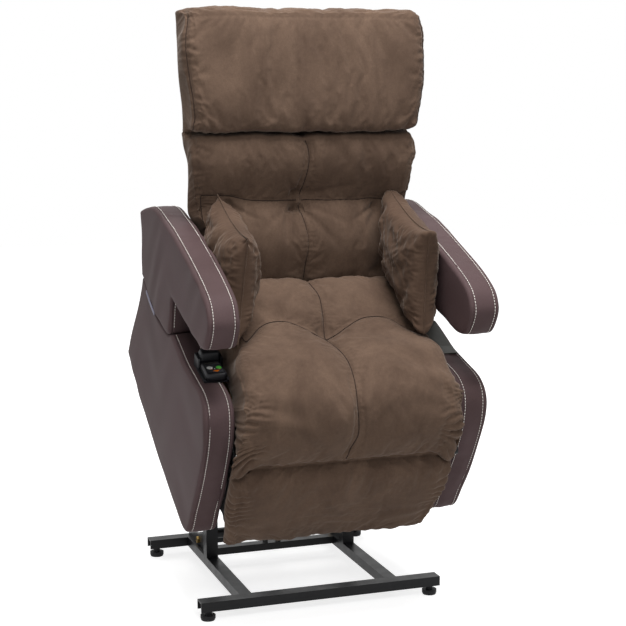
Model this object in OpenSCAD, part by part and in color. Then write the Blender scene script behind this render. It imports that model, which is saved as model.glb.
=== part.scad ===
// Lift recliner chair, drawn raised and tilted forward on its powered lift base.
// Millimetres. +Z is up, -Y is the front, +X is to the right as seen from the front.
// The chair is drawn upright in its own frame: x as above, y rearwards and z upwards from the
// lower front corner of the side panels. raised() then sets it on the lift, tilted forward.

/* [Lift] */
// Forward tilt of the raised chair
lift_tilt = 25; // [15:1:30]
// Height of the side panels' lower front corner when raised
raised_height = 234; // [180:2:280]
// The same height when the chair is let down
lowered_height = 70; // [66:2:90]
// How far that corner stands forward of the lowered position when raised
raised_advance = 43; // [20:1:60]
// Thickness of the lift links
link_t = 8; // [6:1:10]

/* [Base] */
// Length of the two floor bars
bar_len = 640; // [560:10:700]
// Width of the square steel tube
tube = 32; // [28:2:36]
// Height of the glides under the bars
glide_h = 25; // [20:1:30]
// Height of the floor bars and side rails
bar_h = 25; // [20:1:28]

/* [Body] */
// Inside width between the side panels
inner_w = 566; // [540:2:600]
// Thickness of a side panel
panel_t = 74; // [60:2:90]
// Thickness of an arm
arm_t = 77; // [60:1:90]
// Roundness of the padded edges
edge_r = 11; // [6:1:16]

/* [Cushions] */
// Width of the seat and the leg rest
seat_w = 536; // [520:2:540]
// Width of the headrest at its top
head_w = 632; // [600:2:660]
// Lean of the backrest from the chair's own vertical
back_lean = 24.7; // [20:0.1:28]
// Thickness of a side cushion
pillow_t = 100; // [80:2:100]

/* [Handset] */
// Length of the handset
handset_l = 106; // [96:2:110]
// Width of the handset
handset_w = 48; // [42:2:50]

/* [Hidden] */
$fn = 48;

steel = [0.09, 0.09, 0.1];
zinc = [0.72, 0.72, 0.7];
brass = [0.72, 0.56, 0.3];
leatherette = [0.36, 0.3, 0.3];
suede = [0.37, 0.3, 0.25];
black = [0.07, 0.07, 0.08];
timber = [0.72, 0.58, 0.4];

gap = 0.3;
panel_in = inner_w / 2;
seat_hw = seat_w / 2;

// Places on the floor base, as [y, z]
raised_corner = [-187, raised_height];
lowered_corner = [raised_corner[0] + raised_advance, lowered_height];
bar_top = glide_h + bar_h;
front_bar_y = -169;
rear_bar_y = 390;
rail_x = 196;
post_y = 181;
lift_pivot = [186, 265.5];
guide_pivot = [116, 250];
motor_foot = [256, 100];
gusset_bolt = [298, 62];

// Linkage, as [y, z]: every carriage pivot is swung about the pole of the whole lift movement
function turned(a, p) = [p[0] * cos(a) - p[1] * sin(a), p[0] * sin(a) + p[1] * cos(a)];
function angle_of(p) = atan2(p[1], p[0]);
lift_move = raised_corner - lowered_corner;
pole = (raised_corner + lowered_corner) / 2
    + [-lift_move[1], lift_move[0]] / (2 * tan(lift_tilt / 2));
function carriage_pivot(floor_pivot, reach) =
    pole + reach * turned(angle_of(floor_pivot - pole) - lift_tilt / 2, [1, 0]) - lowered_corner;
function raised_point(p) = raised_corner + turned(lift_tilt, p);
lift_reach = 1073.7;
guide_reach = 940;
lift_eye = carriage_pivot(lift_pivot, lift_reach);
guide_eye = carriage_pivot(guide_pivot, guide_reach);
lift_angle = angle_of(raised_point(lift_eye) - lift_pivot);
// The motor's foot stands as far from the lift pivot as the crank tube does
crank_r = norm(motor_foot - lift_pivot);
crank = lift_pivot + crank_r * turned(lift_angle + 40, [1, 0]);
crank_tube_r = 11;
motor_slot = 18;

// Planes across the chair, from the middle outwards
post_in = rail_x - tube / 2;
post_out = rail_x + tube / 2;
lift_link_x = post_in - 4 - link_t;
head_plate_t = 6;
guide_link_x = post_out + head_plate_t + 2;
carriage_plate_x = 197;
carriage_plate_t = 8;
pin_r = 7;
bush_r = 10;
rod_r = 9;
running = 0.05;

// Chair frame, as [y, z]
rail_z = 305;
seat_tube = 30;
cross_tube_r = 13;
tube_bore_r = 10.5;
cross_tubes_y = [20, 156, 430, 590];
deck_z = 320;
deck_t = 12;
deck_top = deck_z + deck_t;
back_pivot = [420, 440];
hinge_plate_t = 5;
bracket_x = panel_in - 1.5 - hinge_plate_t;
lug_x = bracket_x - 1 - hinge_plate_t;
hip_pin_r = 6;
recline_foot = [170, 215];
recline_crank_r = 60;
recline_crank_angle = -67.5;
recline_x = 90;
recline_crank = back_pivot + recline_crank_r * turned(recline_crank_angle, [1, 0]);
recline_slack = 5.5;
legrest_pivot = [-84, 256];
knee_pin_r = 4;
legrest_foot = [122, 296];
legrest_crank_r = norm(legrest_foot - legrest_pivot);
legrest_crank_angle = -66;
legrest_x = -90;
legrest_crank = legrest_pivot + legrest_crank_r * turned(legrest_crank_angle, [1, 0]);
legrest_slot = 24;

// Backrest frame: s runs up the back from its pivot, t runs rearwards
back_dir = [sin(back_lean), cos(back_lean)];
back_normal = [cos(back_lean), -sin(back_lean)];
function back_point(p) = back_pivot + p[0] * back_dir + p[1] * back_normal;

// ---------- Outlines and soft forms ----------

function unit(v) = v / norm(v);
function catmull(a, b, c, d, t) =
    0.5 * (2 * b + (c - a) * t + (2 * a - 5 * b + 4 * c - d) * t * t
        + (3 * b - a - 3 * c + d) * t * t * t);
// Closed smooth curve through the points, with n steps between neighbours
function smooth(p, n) = let (m = len(p)) [
    for (i = [0 : m - 1], k = [0 : n - 1])
        catmull(p[(i + m - 1) % m], p[i], p[(i + 1) % m], p[(i + 2) % m], k / n)
];
// Inward normal at each point of an outline drawn anticlockwise
function inward(p) = let (m = len(p)) [
    for (i = [0 : m - 1]) let (d = unit(p[(i + 1) % m] - p[(i + m - 1) % m])) [-d[1], d[0]]
];
function bump(v, width) = exp(-v * v / (width * width));
function blend(v) = let (u = min(1, max(0, v))) u * u * (3 - 2 * u);

// Skin over a row of rings of equal length, closed by a fan at each end
module loft(rings, x_first, x_last) {
    n = len(rings[0]);
    m = len(rings);
    middle = function (ring, a) let (v = [for (p = ring) p[a]]) (min(v) + max(v)) / 2;
    first_middle = [x_first, middle(rings[0], 1), middle(rings[0], 2)];
    last_middle = [x_last, middle(rings[m - 1], 1), middle(rings[m - 1], 2)];
    points = concat([for (ring = rings) each ring], [first_middle, last_middle]);
    sides = [
        for (j = [0 : m - 2], i = [0 : n - 1]) let (k = (i + 1) % n)
            each [[j * n + i, (j + 1) * n + k, j * n + k], [j * n + i, (j + 1) * n + i, (j + 1) * n + k]]
    ];
    first = [for (i = [0 : n - 1]) [m * n, i, (i + 1) % n]];
    last = [for (i = [0 : n - 1]) [m * n + 1, (m - 1) * n + (i + 1) % n, (m - 1) * n + i]];
    polyhedron(points, concat(sides, first, last));
}

// Upholstered board: an outline in y and z, padded to rounded edges between two x planes
module padded_board(outline, x0, x1, r) {
    steps = 3;
    n = len(outline);
    normals = inward(outline);
    near = [for (k = [0 : steps]) let (a = 90 * k / steps) [x0 + r * (1 - cos(a)), r * (1 - sin(a))]];
    far = [for (k = [steps : -1 : 0]) let (a = 90 * k / steps) [x1 - r * (1 - cos(a)), r * (1 - sin(a))]];
    levels = concat(near, far);
    m = len(levels);
    points = [
        for (v = levels, i = [0 : n - 1]) let (p = outline[i] + v[1] * normals[i]) [v[0], p[0], p[1]]
    ];
    sides = [
        for (j = [0 : m - 2], i = [0 : n - 1]) let (k = (i + 1) % n)
            each [[j * n + i, (j + 1) * n + k, j * n + k], [j * n + i, (j + 1) * n + i, (j + 1) * n + k]]
    ];
    caps = [[for (i = [0 : n - 1]) i], [for (i = [n - 1 : -1 : 0]) (m - 1) * n + i]];
    polyhedron(points, concat(sides, caps));
}

// ---------- Helpers for the steelwork ----------

module raised() {
    translate([0, raised_corner[0], raised_corner[1]]) rotate([lift_tilt, 0, 0]) children();
}
// Outline in y and z, made thick from x0 to x1
module plate(x0, x1) {
    translate([x0, 0, 0]) rotate([90, 0, 90]) linear_extrude(x1 - x0) children();
}
// Bar outline with round ends: circles at a and b and their common tangents
module bar(a, ra, b, rb) {
    lean = acos((ra - rb) / norm(b - a));
    along = angle_of(b - a);
    polygon([for (e = [[a, ra, 1], [b, rb, 1], [b, rb, -1], [a, ra, -1]])
        e[0] + e[1] * turned(along + e[2] * lean, [1, 0])]);
    translate(a) circle(ra);
    translate(b) circle(rb);
}
module cross_rod(r, x0, x1, at) {
    translate([x0, at[0], at[1]]) rotate([0, 90, 0]) cylinder(r = r, h = x1 - x0);
}
module both_sides() {
    children();
    mirror([1, 0, 0]) children();
}
// Sets children drawn along +Y, from an [y, z] point, at an angle in the side view
module aimed(at, a, x = 0) {
    translate([x, at[0], at[1]]) rotate([a, 0, 0]) children();
}
module box_between(low, high) {
    translate(low) cube(high - low);
}

// ---------- Base ----------

module floor_bar(y) {
    half = bar_len / 2;
    difference() {
        box_between([-half, y - 19, glide_h], [half, y + 19, bar_top]);
        box_between([-half - 1, y - 16, glide_h - 1], [half + 1, y + 16, bar_top - 3]);
    }
}

module base_frame() {
    color(steel) {
        floor_bar(front_bar_y);
        floor_bar(rear_bar_y);
        both_sides() difference() {
            box_between([post_in, front_bar_y + 19, glide_h], [post_out, rear_bar_y - 19, bar_top]);
            box_between(
                [post_in + 3, front_bar_y + 18, glide_h - 1],
                [post_out - 3, rear_bar_y - 18, bar_top - 3]);
        }
        // Cross member that carries the motor's foot
        box_between([-post_in, motor_foot[0] - 15, glide_h + 5], [post_in, motor_foot[0] + 15, bar_top]);
        difference() {
            union() for (x = [-22, 15])
                plate(x, x + 7) {
                    translate(motor_foot) circle(14);
                    translate([motor_foot[0] - 14, bar_top - 1]) square([28, motor_foot[1] - bar_top + 1]);
                }
            cross_rod(pin_r, -40, 40, motor_foot);
        }
    }
}

module foot_glides() {
    glide_x = bar_len / 2 - 22;
    color(black) for (x = [-glide_x, glide_x], y = [front_bar_y, rear_bar_y])
        translate([x, y, 0]) {
            cylinder(r1 = 17, r2 = 19, h = 5);
            translate([0, 0, 5]) cylinder(r = 19, h = 8);
            translate([0, 0, 13]) cylinder(r = 9, h = glide_h - 13 + bar_h - 3);
        }
}

module lift_posts() {
    color(steel) both_sides() difference() {
        union() {
            box_between([post_in, post_y - tube / 2, bar_top], [post_out, post_y + tube / 2, 288]);
            // Head plate that carries the guide pivot
            plate(post_out, post_out + head_plate_t) {
                bar(guide_pivot, 22, [post_y - 1, 272], 15);
                bar(guide_pivot, 22, [post_y - 1, 222], 15);
                polygon([guide_pivot, [post_y - 1, 222], [post_y - 1, 272]]);
                translate([post_y - 1, 222]) square([tube / 2 - 1, 50]);
            }
            // Gusset behind the post
            plate(rail_x - 3, rail_x + 3) polygon([
                [post_y + tube / 2, bar_top], [410, bar_top], [410, 70], [305, 76], [255, 92],
                [post_y + tube / 2, 190]
            ]);
        }
        cross_rod(pin_r, post_in - 1, post_out + 10, lift_pivot);
        cross_rod(pin_r, post_out - 1, post_out + 10, guide_pivot);
        cross_rod(5, rail_x - 10, rail_x + 10, gusset_bolt);
    }
}

module base_cross_tube() {
    color(steel) difference() {
        cross_rod(14, -post_in, post_in, [post_y, 112]);
        cross_rod(11, -post_in - 1, post_in + 1, [post_y, 112]);
    }
}

module post_pins() {
    color(zinc) both_sides() {
        cross_rod(pin_r, lift_link_x - 1, post_out, lift_pivot);
        cross_rod(12, lift_link_x - 5, lift_link_x - 1, lift_pivot);
        cross_rod(pin_r, post_out, guide_link_x + link_t + 1, guide_pivot);
        cross_rod(12, guide_link_x + link_t + 1, guide_link_x + link_t + 5, guide_pivot);
    }
}

module base_bolts() {
    color(brass) both_sides() {
        cross_rod(5, rail_x - 9, rail_x + 9, gusset_bolt);
        for (x = [rail_x - 9, rail_x + 3])
            cross_rod(10, x, x + 6, gusset_bolt, $fn = 6);
    }
}

module lift_motor_pin() {
    color(zinc) {
        cross_rod(pin_r, -24, 24, motor_foot);
        for (x = [-28, 24]) cross_rod(11, x, x + 4, motor_foot);
    }
}

// ---------- Lift linkage ----------

module lift_links() {
    color(steel) {
        both_sides() difference() {
            plate(lift_link_x, lift_link_x + link_t) {
                bar(lift_pivot, 20, raised_point(lift_eye), 20);
                bar(lift_pivot, 20, crank, 18);
                bar(crank, 18, raised_point(lift_eye), 20);
                polygon([lift_pivot, raised_point(lift_eye), crank]);
            }
            for (p = [lift_pivot, raised_point(lift_eye)]) cross_rod(bush_r, lift_link_x - 1, post_in, p);
        }
        cross_rod(crank_tube_r, -lift_link_x, lift_link_x, crank);
    }
}

module link_bushes() {
    color([0.85, 0.84, 0.8]) both_sides() for (p = [lift_pivot, raised_point(lift_eye)]) difference() {
        cross_rod(bush_r, lift_link_x - 0.5, lift_link_x + link_t + 0.5, p);
        cross_rod(pin_r + running, lift_link_x - 2, post_in, p);
    }
}

// The upper eye is wide enough for the small miss of a fixed ratio between the hinges
module guide_links() {
    color(steel) both_sides() difference() {
        plate(guide_link_x, guide_link_x + link_t) bar(guide_pivot, 18, raised_point(guide_eye), 18);
        cross_rod(pin_r + running, guide_link_x - 1, guide_link_x + link_t + 1, guide_pivot);
        cross_rod(pin_r + 3, guide_link_x - 1, guide_link_x + link_t + 1, raised_point(guide_eye));
    }
}

// Linear actuator drawn along +Y from its foot: gearbox, motor and outer tube
module actuator_body(tube_end, bore_start, rod_r) {
    difference() {
        union() {
            cross_rod(16, -14, 14, [0, 0]);
            box_between([-14, 0, -16], [14, 28, 16]);
            box_between([-19, 26, -19], [19, 58, 19]);
            translate([0, 52, 0]) rotate([-90, 0, 0]) cylinder(r = 16, h = tube_end - 52);
            // Motor slung beside the tube
            translate([0, 17, -40]) rotate([-90, 0, 0]) cylinder(r = 21, h = 104);
            box_between([-17, 17, -38], [17, 50, -10]);
        }
        cross_rod(pin_r + running, -30, 30, [0, 0]);
        translate([0, bore_start, 0]) rotate([-90, 0, 0]) cylinder(r = rod_r + 0.4, h = tube_end);
    }
}

// Push rod with a slotted end, so that it pushes but never pulls the load down
module actuator_rod(start, length, rod_r, eye_r, slot_r, slot) {
    difference() {
        union() {
            translate([0, start, 0]) rotate([-90, 0, 0]) cylinder(r = rod_r, h = length - start - slot_r - 3);
            for (y = [length, length + slot]) cross_rod(eye_r, -9, 9, [y, 0]);
            if (slot > 0) box_between([-9, length, -eye_r], [9, length + slot, eye_r]);
        }
        for (y = [length, length + slot]) cross_rod(slot_r, -20, 20, [y, 0]);
        if (slot > 0) box_between([-20, length, -slot_r], [20, length + slot, slot_r]);
    }
}

motor_len = norm(crank - motor_foot);
motor_angle = angle_of(crank - motor_foot);
module lift_motor() {
    color(black) aimed(motor_foot, motor_angle) actuator_body(205, 62, rod_r);
}
module lift_rod() {
    color(zinc) aimed(motor_foot, motor_angle)
        actuator_rod(182, motor_len, rod_r, crank_tube_r + 8, crank_tube_r + 0.8, motor_slot);
}

// ---------- Seat carriage ----------

module seat_frame() {
    color(steel) raised() difference() {
        union() {
            both_sides() box_between([rail_x - seat_tube / 2, -10, rail_z - seat_tube / 2],
                [rail_x + seat_tube / 2, 603, deck_z - gap]);
            for (y = cross_tubes_y) cross_rod(cross_tube_r, -panel_in, panel_in, [y, rail_z]);
        }
        for (y = cross_tubes_y) cross_rod(tube_bore_r, -panel_in - 1, panel_in + 1, [y, rail_z]);
    }
}

// Brackets slipped over the cross tubes: hip and knee brackets beside the panels hold the hinge
// pins of the backrest and the leg rest, and pairs of lugs hold the feet of the two motors
module frame_brackets() {
    color(steel) raised() {
        both_sides() {
            tube_bracket(bracket_x, hinge_plate_t, cross_tubes_y[2], back_pivot, 16, hip_pin_r);
            tube_bracket(bracket_x, hinge_plate_t, cross_tubes_y[0], legrest_pivot, 9, knee_pin_r);
        }
        for (foot = [[recline_x, recline_foot], [legrest_x, legrest_foot]], side = [-22, 15])
            tube_bracket(foot[0] + side, 7, cross_tubes_y[1], foot[1], 12, pin_r);
    }
}
module tube_bracket(x, t, tube_y, eye, eye_r, bore_r) {
    difference() {
        plate(x, x + t) bar([tube_y, rail_z], cross_tube_r + 1.8, eye, eye_r);
        cross_rod(cross_tube_r + 0.05, x - 1, x + t + 1, [tube_y, rail_z]);
        cross_rod(bore_r, x - 1, x + t + 1, eye);
    }
}

module carriage_plates() {
    color(steel) raised() both_sides() difference() {
        plate(carriage_plate_x, carriage_plate_x + carriage_plate_t) {
            bar(lift_eye, 20, guide_eye, 20);
            bar(lift_eye, 20, [582, rail_z - 26], 11);
            bar(guide_eye, 20, [542, rail_z - 26], 11);
            polygon([lift_eye, [582, rail_z - 26], [542, rail_z - 26], guide_eye]);
            translate([531, rail_z - 26]) square([62, 11 - gap]);
        }
        cross_rod(pin_r, 180, 220, lift_eye);
        cross_rod(pin_r, 180, 220, guide_eye);
    }
}

module carriage_pins() {
    color(zinc) raised() both_sides() {
        cross_rod(pin_r, lift_link_x - 1, carriage_plate_x + carriage_plate_t, lift_eye);
        cross_rod(12, lift_link_x - 5, lift_link_x - 1, lift_eye);
        cross_rod(pin_r, carriage_plate_x, guide_link_x + link_t + 1, guide_eye);
        cross_rod(14, guide_link_x + link_t + 1, guide_link_x + link_t + 4, guide_eye);
    }
}

module seat_deck() {
    color(timber) raised() box_between([-seat_hw, -8, deck_z], [seat_hw, 278, deck_top]);
}

// Threaded plugs in the ends of the cross tubes, which the side panels are screwed to
module tube_plugs() {
    color(zinc) raised() both_sides() for (y = cross_tubes_y)
        cross_rod(tube_bore_r - running, panel_in - 16, panel_in, [y, rail_z]);
}

module hip_pins() {
    color(zinc) raised() both_sides()
        cross_rod(hip_pin_r, lug_x - 0.5, bracket_x + hinge_plate_t, back_pivot);
}

module knee_pins() {
    color(zinc) raised() both_sides()
        cross_rod(knee_pin_r, lug_x - 0.5, bracket_x + hinge_plate_t, legrest_pivot);
}

panel_outline = smooth([
    [0, 3], [110, -8], [228, -14], [330, -9], [418, -1], [597, 14], [700, 33], [724, 44], [716, 73],
    [674, 200], [637, 315], [629, 346], [614, 349], [557, 341], [458, 335], [343, 358], [316, 372],
    [300, 377], [225, 378.8], [176, 380], [110, 390.3], [70, 396.7], [40, 401.5], [6, 403], [-27, 392],
    [-50, 360], [-61, 300], [-52, 200], [-28, 90]
], 2);
arm_outline = smooth([
    [317.5, 384], [320, 373], [343, 358.4], [458, 335], [557, 341], [614, 349], [629, 350], [636, 362],
    [668, 437], [702, 492], [694, 512], [585, 580], [470, 607], [382, 622], [252, 635], [127, 642],
    [51, 638], [14, 618], [0, 590], [10, 538], [38, 517], [77, 506], [181, 490], [300, 474], [327, 468],
    [325, 430]
], 2);

module side_panel(side) {
    color(leatherette) raised() {
        if (side > 0) padded_board(panel_outline, panel_in, panel_in + panel_t, edge_r);
        else padded_board(panel_outline, -panel_in - panel_t, -panel_in, edge_r);
    }
}
module side_panel_left() { side_panel(-1); }
module side_panel_right() { side_panel(1); }

module arm(side) {
    seam = 1.2;
    color(leatherette) raised() translate([0, 0, seam]) {
        if (side > 0) padded_board(arm_outline, panel_in, panel_in + arm_t, edge_r);
        else padded_board(arm_outline, -panel_in - arm_t, -panel_in, edge_r);
    }
}
module arm_left() { arm(-1); }
module arm_right() { arm(1); }

module rear_skirt() {
    outer = [[612, 330], [700, 92], [694, 88], [604, 330]];
    color(leatherette) raised() plate(-panel_in + 2, panel_in - 2) polygon(outer);
}

module control_box() {
    color(black) raised() difference() {
        box_between([-176, 42, 272], [-118, 136, deck_z - gap]);
        // Socket for the mains lead and cooling slots
        box_between([-158, 130, 284], [-136, 137, 302]);
        for (y = [56 : 12 : 116]) box_between([-166, y, 271], [-128, y + 5, 275]);
    }
}

module storage_pocket() {
    x = panel_in + panel_t + gap;
    wall = 3;
    depth = 12;
    sheet = [[24, 60], [330, 40], [430, 320], [20, 345]];
    color(leatherette) raised() difference() {
        plate(x, x + depth) polygon(sheet);
        plate(x + wall, x + depth - wall) offset(delta = -wall) polygon(sheet);
        plate(x + wall, x + depth - wall) polygon([[30, 300], [418, 290], [450, 400], [20, 400]]);
    }
}

module panel_lid() {
    color([0.27, 0.26, 0.22]) raised() plate(panel_in + 14, panel_in + panel_t - 12)
        polygon([for (p = [[136, 387.4], [176, 381], [225, 379.6], [296, 378.2]]) p,
            for (p = [[296, 381.6], [225, 383], [176, 384.4], [136, 390.8]]) p]);
}

// ---------- Handset ----------

handset_x = -301;
// Sets children on the sloping top of the left panel, y rearwards
module on_panel_top() {
    translate([handset_x, 66, 398]) rotate([-8.9, 0, 0]) children();
}
module soft_box(size, r) {
    linear_extrude(size[2]) {
        for (x = [r - size[0] / 2, size[0] / 2 - r], y = [r, size[1] - r]) translate([x, y]) circle(r);
        translate([-size[0] / 2, r]) square([size[0], size[1] - 2 * r]);
        translate([r - size[0] / 2, 0]) square([size[0] - 2 * r, size[1]]);
    }
}

module handset_holder() {
    color(black) raised() on_panel_top() difference() {
        union() {
            translate([0, 2, 0]) soft_box([handset_w + 14, 104, 6], 5);
            translate([0, 66, 0]) soft_box([handset_w + 14, 40, 31], 5);
        }
        translate([0, -4, 3]) soft_box([handset_w + 2, 106, 40], 4);
    }
}
module handset_body() {
    color(black) raised() on_panel_top() difference() {
        translate([0, 0, 3 + gap]) soft_box([handset_w, handset_l - 6, 19], 8);
        for (x = [-11, 11]) translate([x, 34, 15]) cylinder(r = 7.1, h = 20);
        translate([0, 10, 21.3]) soft_box([38, 42, 5], 5);
    }
}
module handset_keypad() {
    color([0.2, 0.2, 0.22]) raised() on_panel_top() difference() {
        translate([0, 10.2, 21.3]) soft_box([37.6, 41.6, 1.6], 5);
        for (x = [-11, 11]) translate([x, 34, 15]) cylinder(r = 7.1, h = 20);
    }
}
module round_button(x) {
    raised() on_panel_top() translate([x, 34, 17]) {
        cylinder(r = 7, h = 6.4);
        translate([0, 0, 6.4]) cylinder(r1 = 7, r2 = 5.6, h = 1);
    }
}
module up_button() { color([0.85, 0.86, 0.84]) round_button(-11); }
module down_button() { color([0.35, 0.6, 0.3]) round_button(11); }

// ---------- Seat and leg rest ----------

stations = [-1, -0.985, -0.94, -0.85, -0.7, -0.5, -0.3, -0.14, -0.05, 0, 0.05, 0.14, 0.3, 0.5, 0.7,
    0.85, 0.94, 0.985, 1];
function edge_round(u, w, r) = let (d = w * (1 - abs(u))) d >= r ? 0 : r - sqrt(r * r - (r - d) * (r - d));

seat_section = smooth([
    [-84, 257], [-54, 262], [-36, 292], [-24, 328], [0, deck_top + 1.5], [140, deck_top + 1.5],
    [262, deck_top + 1.5], [290, deck_top + 8], [322, 396], [364, 474], [362, 492], [336, 500],
    [280, 503], [225, 490], [161, 471], [110, 475], [50, 480], [0, 472], [-50, 456], [-88, 425],
    [-110, 385], [-117, 340], [-108, 290]
], 2);
module seat_cushion() {
    normals = inward(seat_section);
    crown = 26;
    color(suede) raised() loft([
        for (u = stations) [
            for (i = [0 : len(seat_section) - 1])
                let (
                    p = seat_section[i],
                    x = u * seat_hw,
                    soft = blend((p[1] - 345) / 60),
                    front = blend((40 - p[0]) / 80) * blend((p[1] - 262) / 25),
                    sink = edge_round(u, seat_hw, 34) * max(soft, front, 0.35)
                        + 7 * bump(x, 14) * max(soft, front)
                        + 17 * bump(x, 45) * bump(p[0] - 161, 45) * soft,
                    q = p + sink * normals[i]
                )
                [x, q[0], q[1] - crown * soft * pow(abs(u), 3)]
        ]
    ], -seat_hw, seat_hw);
}

legrest_section = smooth([
    [-84, 255], [-98, 238], [-106, 205], [-102, 150], [-90, 90], [-70, 30], [-52, -6], [-38, -13],
    [-18, -5], [-26, 40], [-38, 110], [-50, 180], [-57, 232], [-67, 250]
], 3);
module legrest_cushion() {
    normals = inward(legrest_section);
    color(suede) raised() loft([
        for (u = stations) [
            for (i = [0 : len(legrest_section) - 1])
                let (
                    p = legrest_section[i],
                    taper = 1 - 0.045 * blend((90 - p[1]) / 110),
                    sink = edge_round(u, seat_hw, 24),
                    q = p + sink * normals[i]
                )
                [u * seat_hw * taper, q[0], q[1]]
        ]
    ], -seat_hw, seat_hw);
}

// Board behind the pad, slotted where the rod lies along it at full lift
module legrest_frame() {
    rod_way = [legrest_x - 26, legrest_x + 26];
    color(timber) raised() difference() {
        union() {
            plate(-seat_hw + 20, seat_hw - 20) polygon([
                [-48, 226], [-41, 180], [-28.5, 110], [-15, 40], [-6, 8], [4, 10], [-6, 45], [-30, 180],
                [-37, 228]
            ]);
            for (x = [-20, 12])
                plate(legrest_x + x, legrest_x + x + 8) polygon([
                    [-22, 84], legrest_crank + [-6, 13], legrest_crank + [8, 10], legrest_crank + [11, -4],
                    legrest_crank + [6, -14], [-8, 24]
                ]);
        }
        box_between([rod_way[0], -60, 90], [rod_way[1], 40, 240]);
        box_between([legrest_x - 11.5, -40, 22], [legrest_x + 11.5, 40, 91]);
        cross_rod(hip_pin_r, legrest_x - 30, legrest_x + 30, legrest_crank);
    }
}

module legrest_crank_pin() {
    color(zinc) raised() cross_rod(hip_pin_r, legrest_x - 24, legrest_x + 24, legrest_crank);
}

module legrest_hinges() {
    tab = [[-36.6, 228], [-29.6, 180], [-22, 180], [-29, 228]];
    color(steel) raised() both_sides() difference() {
        union() {
            plate(seat_hw - 45, lug_x + hinge_plate_t) polygon(tab);
            plate(lug_x, lug_x + hinge_plate_t) {
                bar(legrest_pivot, 9, [-34, 219], 9);
                bar([-34, 219], 9, [-27, 186], 7);
            }
        }
        cross_rod(knee_pin_r + running, lug_x - 2, panel_in, legrest_pivot);
    }
}

legrest_len = norm(legrest_crank - legrest_foot);
legrest_motor_angle = angle_of(legrest_crank - legrest_foot);
module legrest_motor() {
    color(black) raised() aimed(legrest_foot, legrest_motor_angle, legrest_x) mirror([0, 0, 1])
        actuator_body(222, 58, rod_r);
}
module legrest_rod() {
    color(zinc) raised() aimed(legrest_foot, legrest_motor_angle, legrest_x)
        actuator_rod(61, legrest_len, rod_r, hip_pin_r + 7, hip_pin_r + 0.8, legrest_slot);
}

// ---------- Backrest ----------

// The two lower cushions meet in a channel with a tuft in the middle
tuft_s = 222;
board_top = 682;
lumbar_section = smooth([
    [-30, 10], [-36, -12], [-20, -40], [10, -58], [42, -68], [90, -84], [140, -86], [185, -75],
    [tuft_s - 10, -62], [tuft_s - 2, -50], [tuft_s - 1, -20], [tuft_s - 4, 6], [tuft_s - 20, 10], [110, 11]
], 2);
back_section = smooth([
    [tuft_s + 4, 6], [tuft_s + 1, -20], [tuft_s + 2, -50], [tuft_s + 10, -62], [262, -76], [300, -90],
    [340, -96], [366, -88], [379, -64], [382, -25], [378, 10], [300, 10], [tuft_s + 20, 10]
], 2);
function back_sink(x, p, soft) =
    edge_round(x / 285, 285, 30) * (0.3 + 0.7 * soft)
    + 6 * bump(x, 14) * soft
    + 14 * bump(x, 50) * bump(p[0] - tuft_s, 40) * soft;
// Sections in s and t turn over in the side view, so their points are read backwards
module back_loft(section, half_width, sink, cap) {
    normals = inward(section);
    loft([
        for (u = stations) [
            for (i = [len(section) - 1 : -1 : 0])
                let (p = section[i], q = back_point(p + sink(u, p) * normals[i]))
                [u * half_width(p[0]), q[0], q[1]]
        ]
    ], -cap, cap);
}

// Its sides draw back to make room for the side cushions, and its width clears the arms
module lumbar_cushion() {
    color(suede) raised() back_loft(
        lumbar_section,
        function (s) seat_hw + 12 * blend((s - 130) / 40),
        function (u, p) let (x = 285 * u, soft = blend((-20 - p[1]) / 20))
            back_sink(x, p, soft) + 18 * blend((abs(x) - 165) / 25) * blend(p[0] / 40) * soft,
        seat_hw
    );
}
module back_cushion() {
    color(suede) raised() back_loft(
        back_section,
        function (s) seat_hw + 12 + 15 * blend((s - 300) / 30),
        function (u, p) back_sink(285 * u, p, blend((-20 - p[1]) / 20)),
        seat_hw + 12
    );
}

head_section = smooth([
    [394, 8], [391, -40], [391, -84], [402, -107], [440, -116], [508, -114], [590, -106], [652, -94],
    [683, -76], [692, -50], [690, -14], [678, 5], [630, 10], [510, 10]
], 2);
module headrest_pillow() {
    color(suede) raised() back_loft(
        head_section,
        function (s) head_w / 2 - 17 + 17 * blend((s - 394) / 80),
        function (u, p) edge_round(u, 306, 34) * (0.35 + 0.65 * blend((-10 - p[1]) / 30)),
        head_w / 2 - 3
    );
}

// Boards and covers given by their lower edge s and their span in t
module back_board(width, s, length, t0, t1, r) {
    aimed(back_pivot, 90 - back_lean) translate([0, s, -t1]) soft_box([width, length, t1 - t0], r);
}

module back_frame() {
    color(timber) raised() back_board(2 * lug_x - 4, 2, board_top - 2, 13, 29, 20);
}

// Steel side arms that turn on the hip pins, and the crank that the recline rod pushes
module back_hinges() {
    color(steel) raised() {
        both_sides() difference() {
            union() {
                plate(lug_x, lug_x + hinge_plate_t) bar(back_pivot, 16, back_point([150, 21]), 8);
            }
            cross_rod(hip_pin_r + running, lug_x - 5, panel_in, back_pivot);
        }
        difference() {
            union() {
                for (x = [recline_x - 19, recline_x + 12])
                    plate(x, x + 7) bar(recline_crank, 12, back_point([28, 37]), 7);
                translate([recline_x, 0, 0]) back_board(120, 14, 60, 29.2, 33, 6);
            }
            cross_rod(hip_pin_r, recline_x - 30, recline_x + 30, recline_crank);
        }
    }
}
module back_crank_pin() {
    color(zinc) raised() cross_rod(hip_pin_r, recline_x - 22, recline_x + 22, recline_crank);
}

// Padded rear cover, which wraps round the board's edges above the side arms
module back_cover() {
    color(suede) raised() {
        back_board(2 * lug_x - 1, 80, 100, 29 + gap, 46, 30);
        difference() {
            back_board(2 * lug_x + 11, 166, board_top - 156, 12, 46, 30);
            back_board(2 * lug_x - 3.4, 100, board_top - 99.7, 10, 29 + gap, 20);
        }
    }
}

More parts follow.
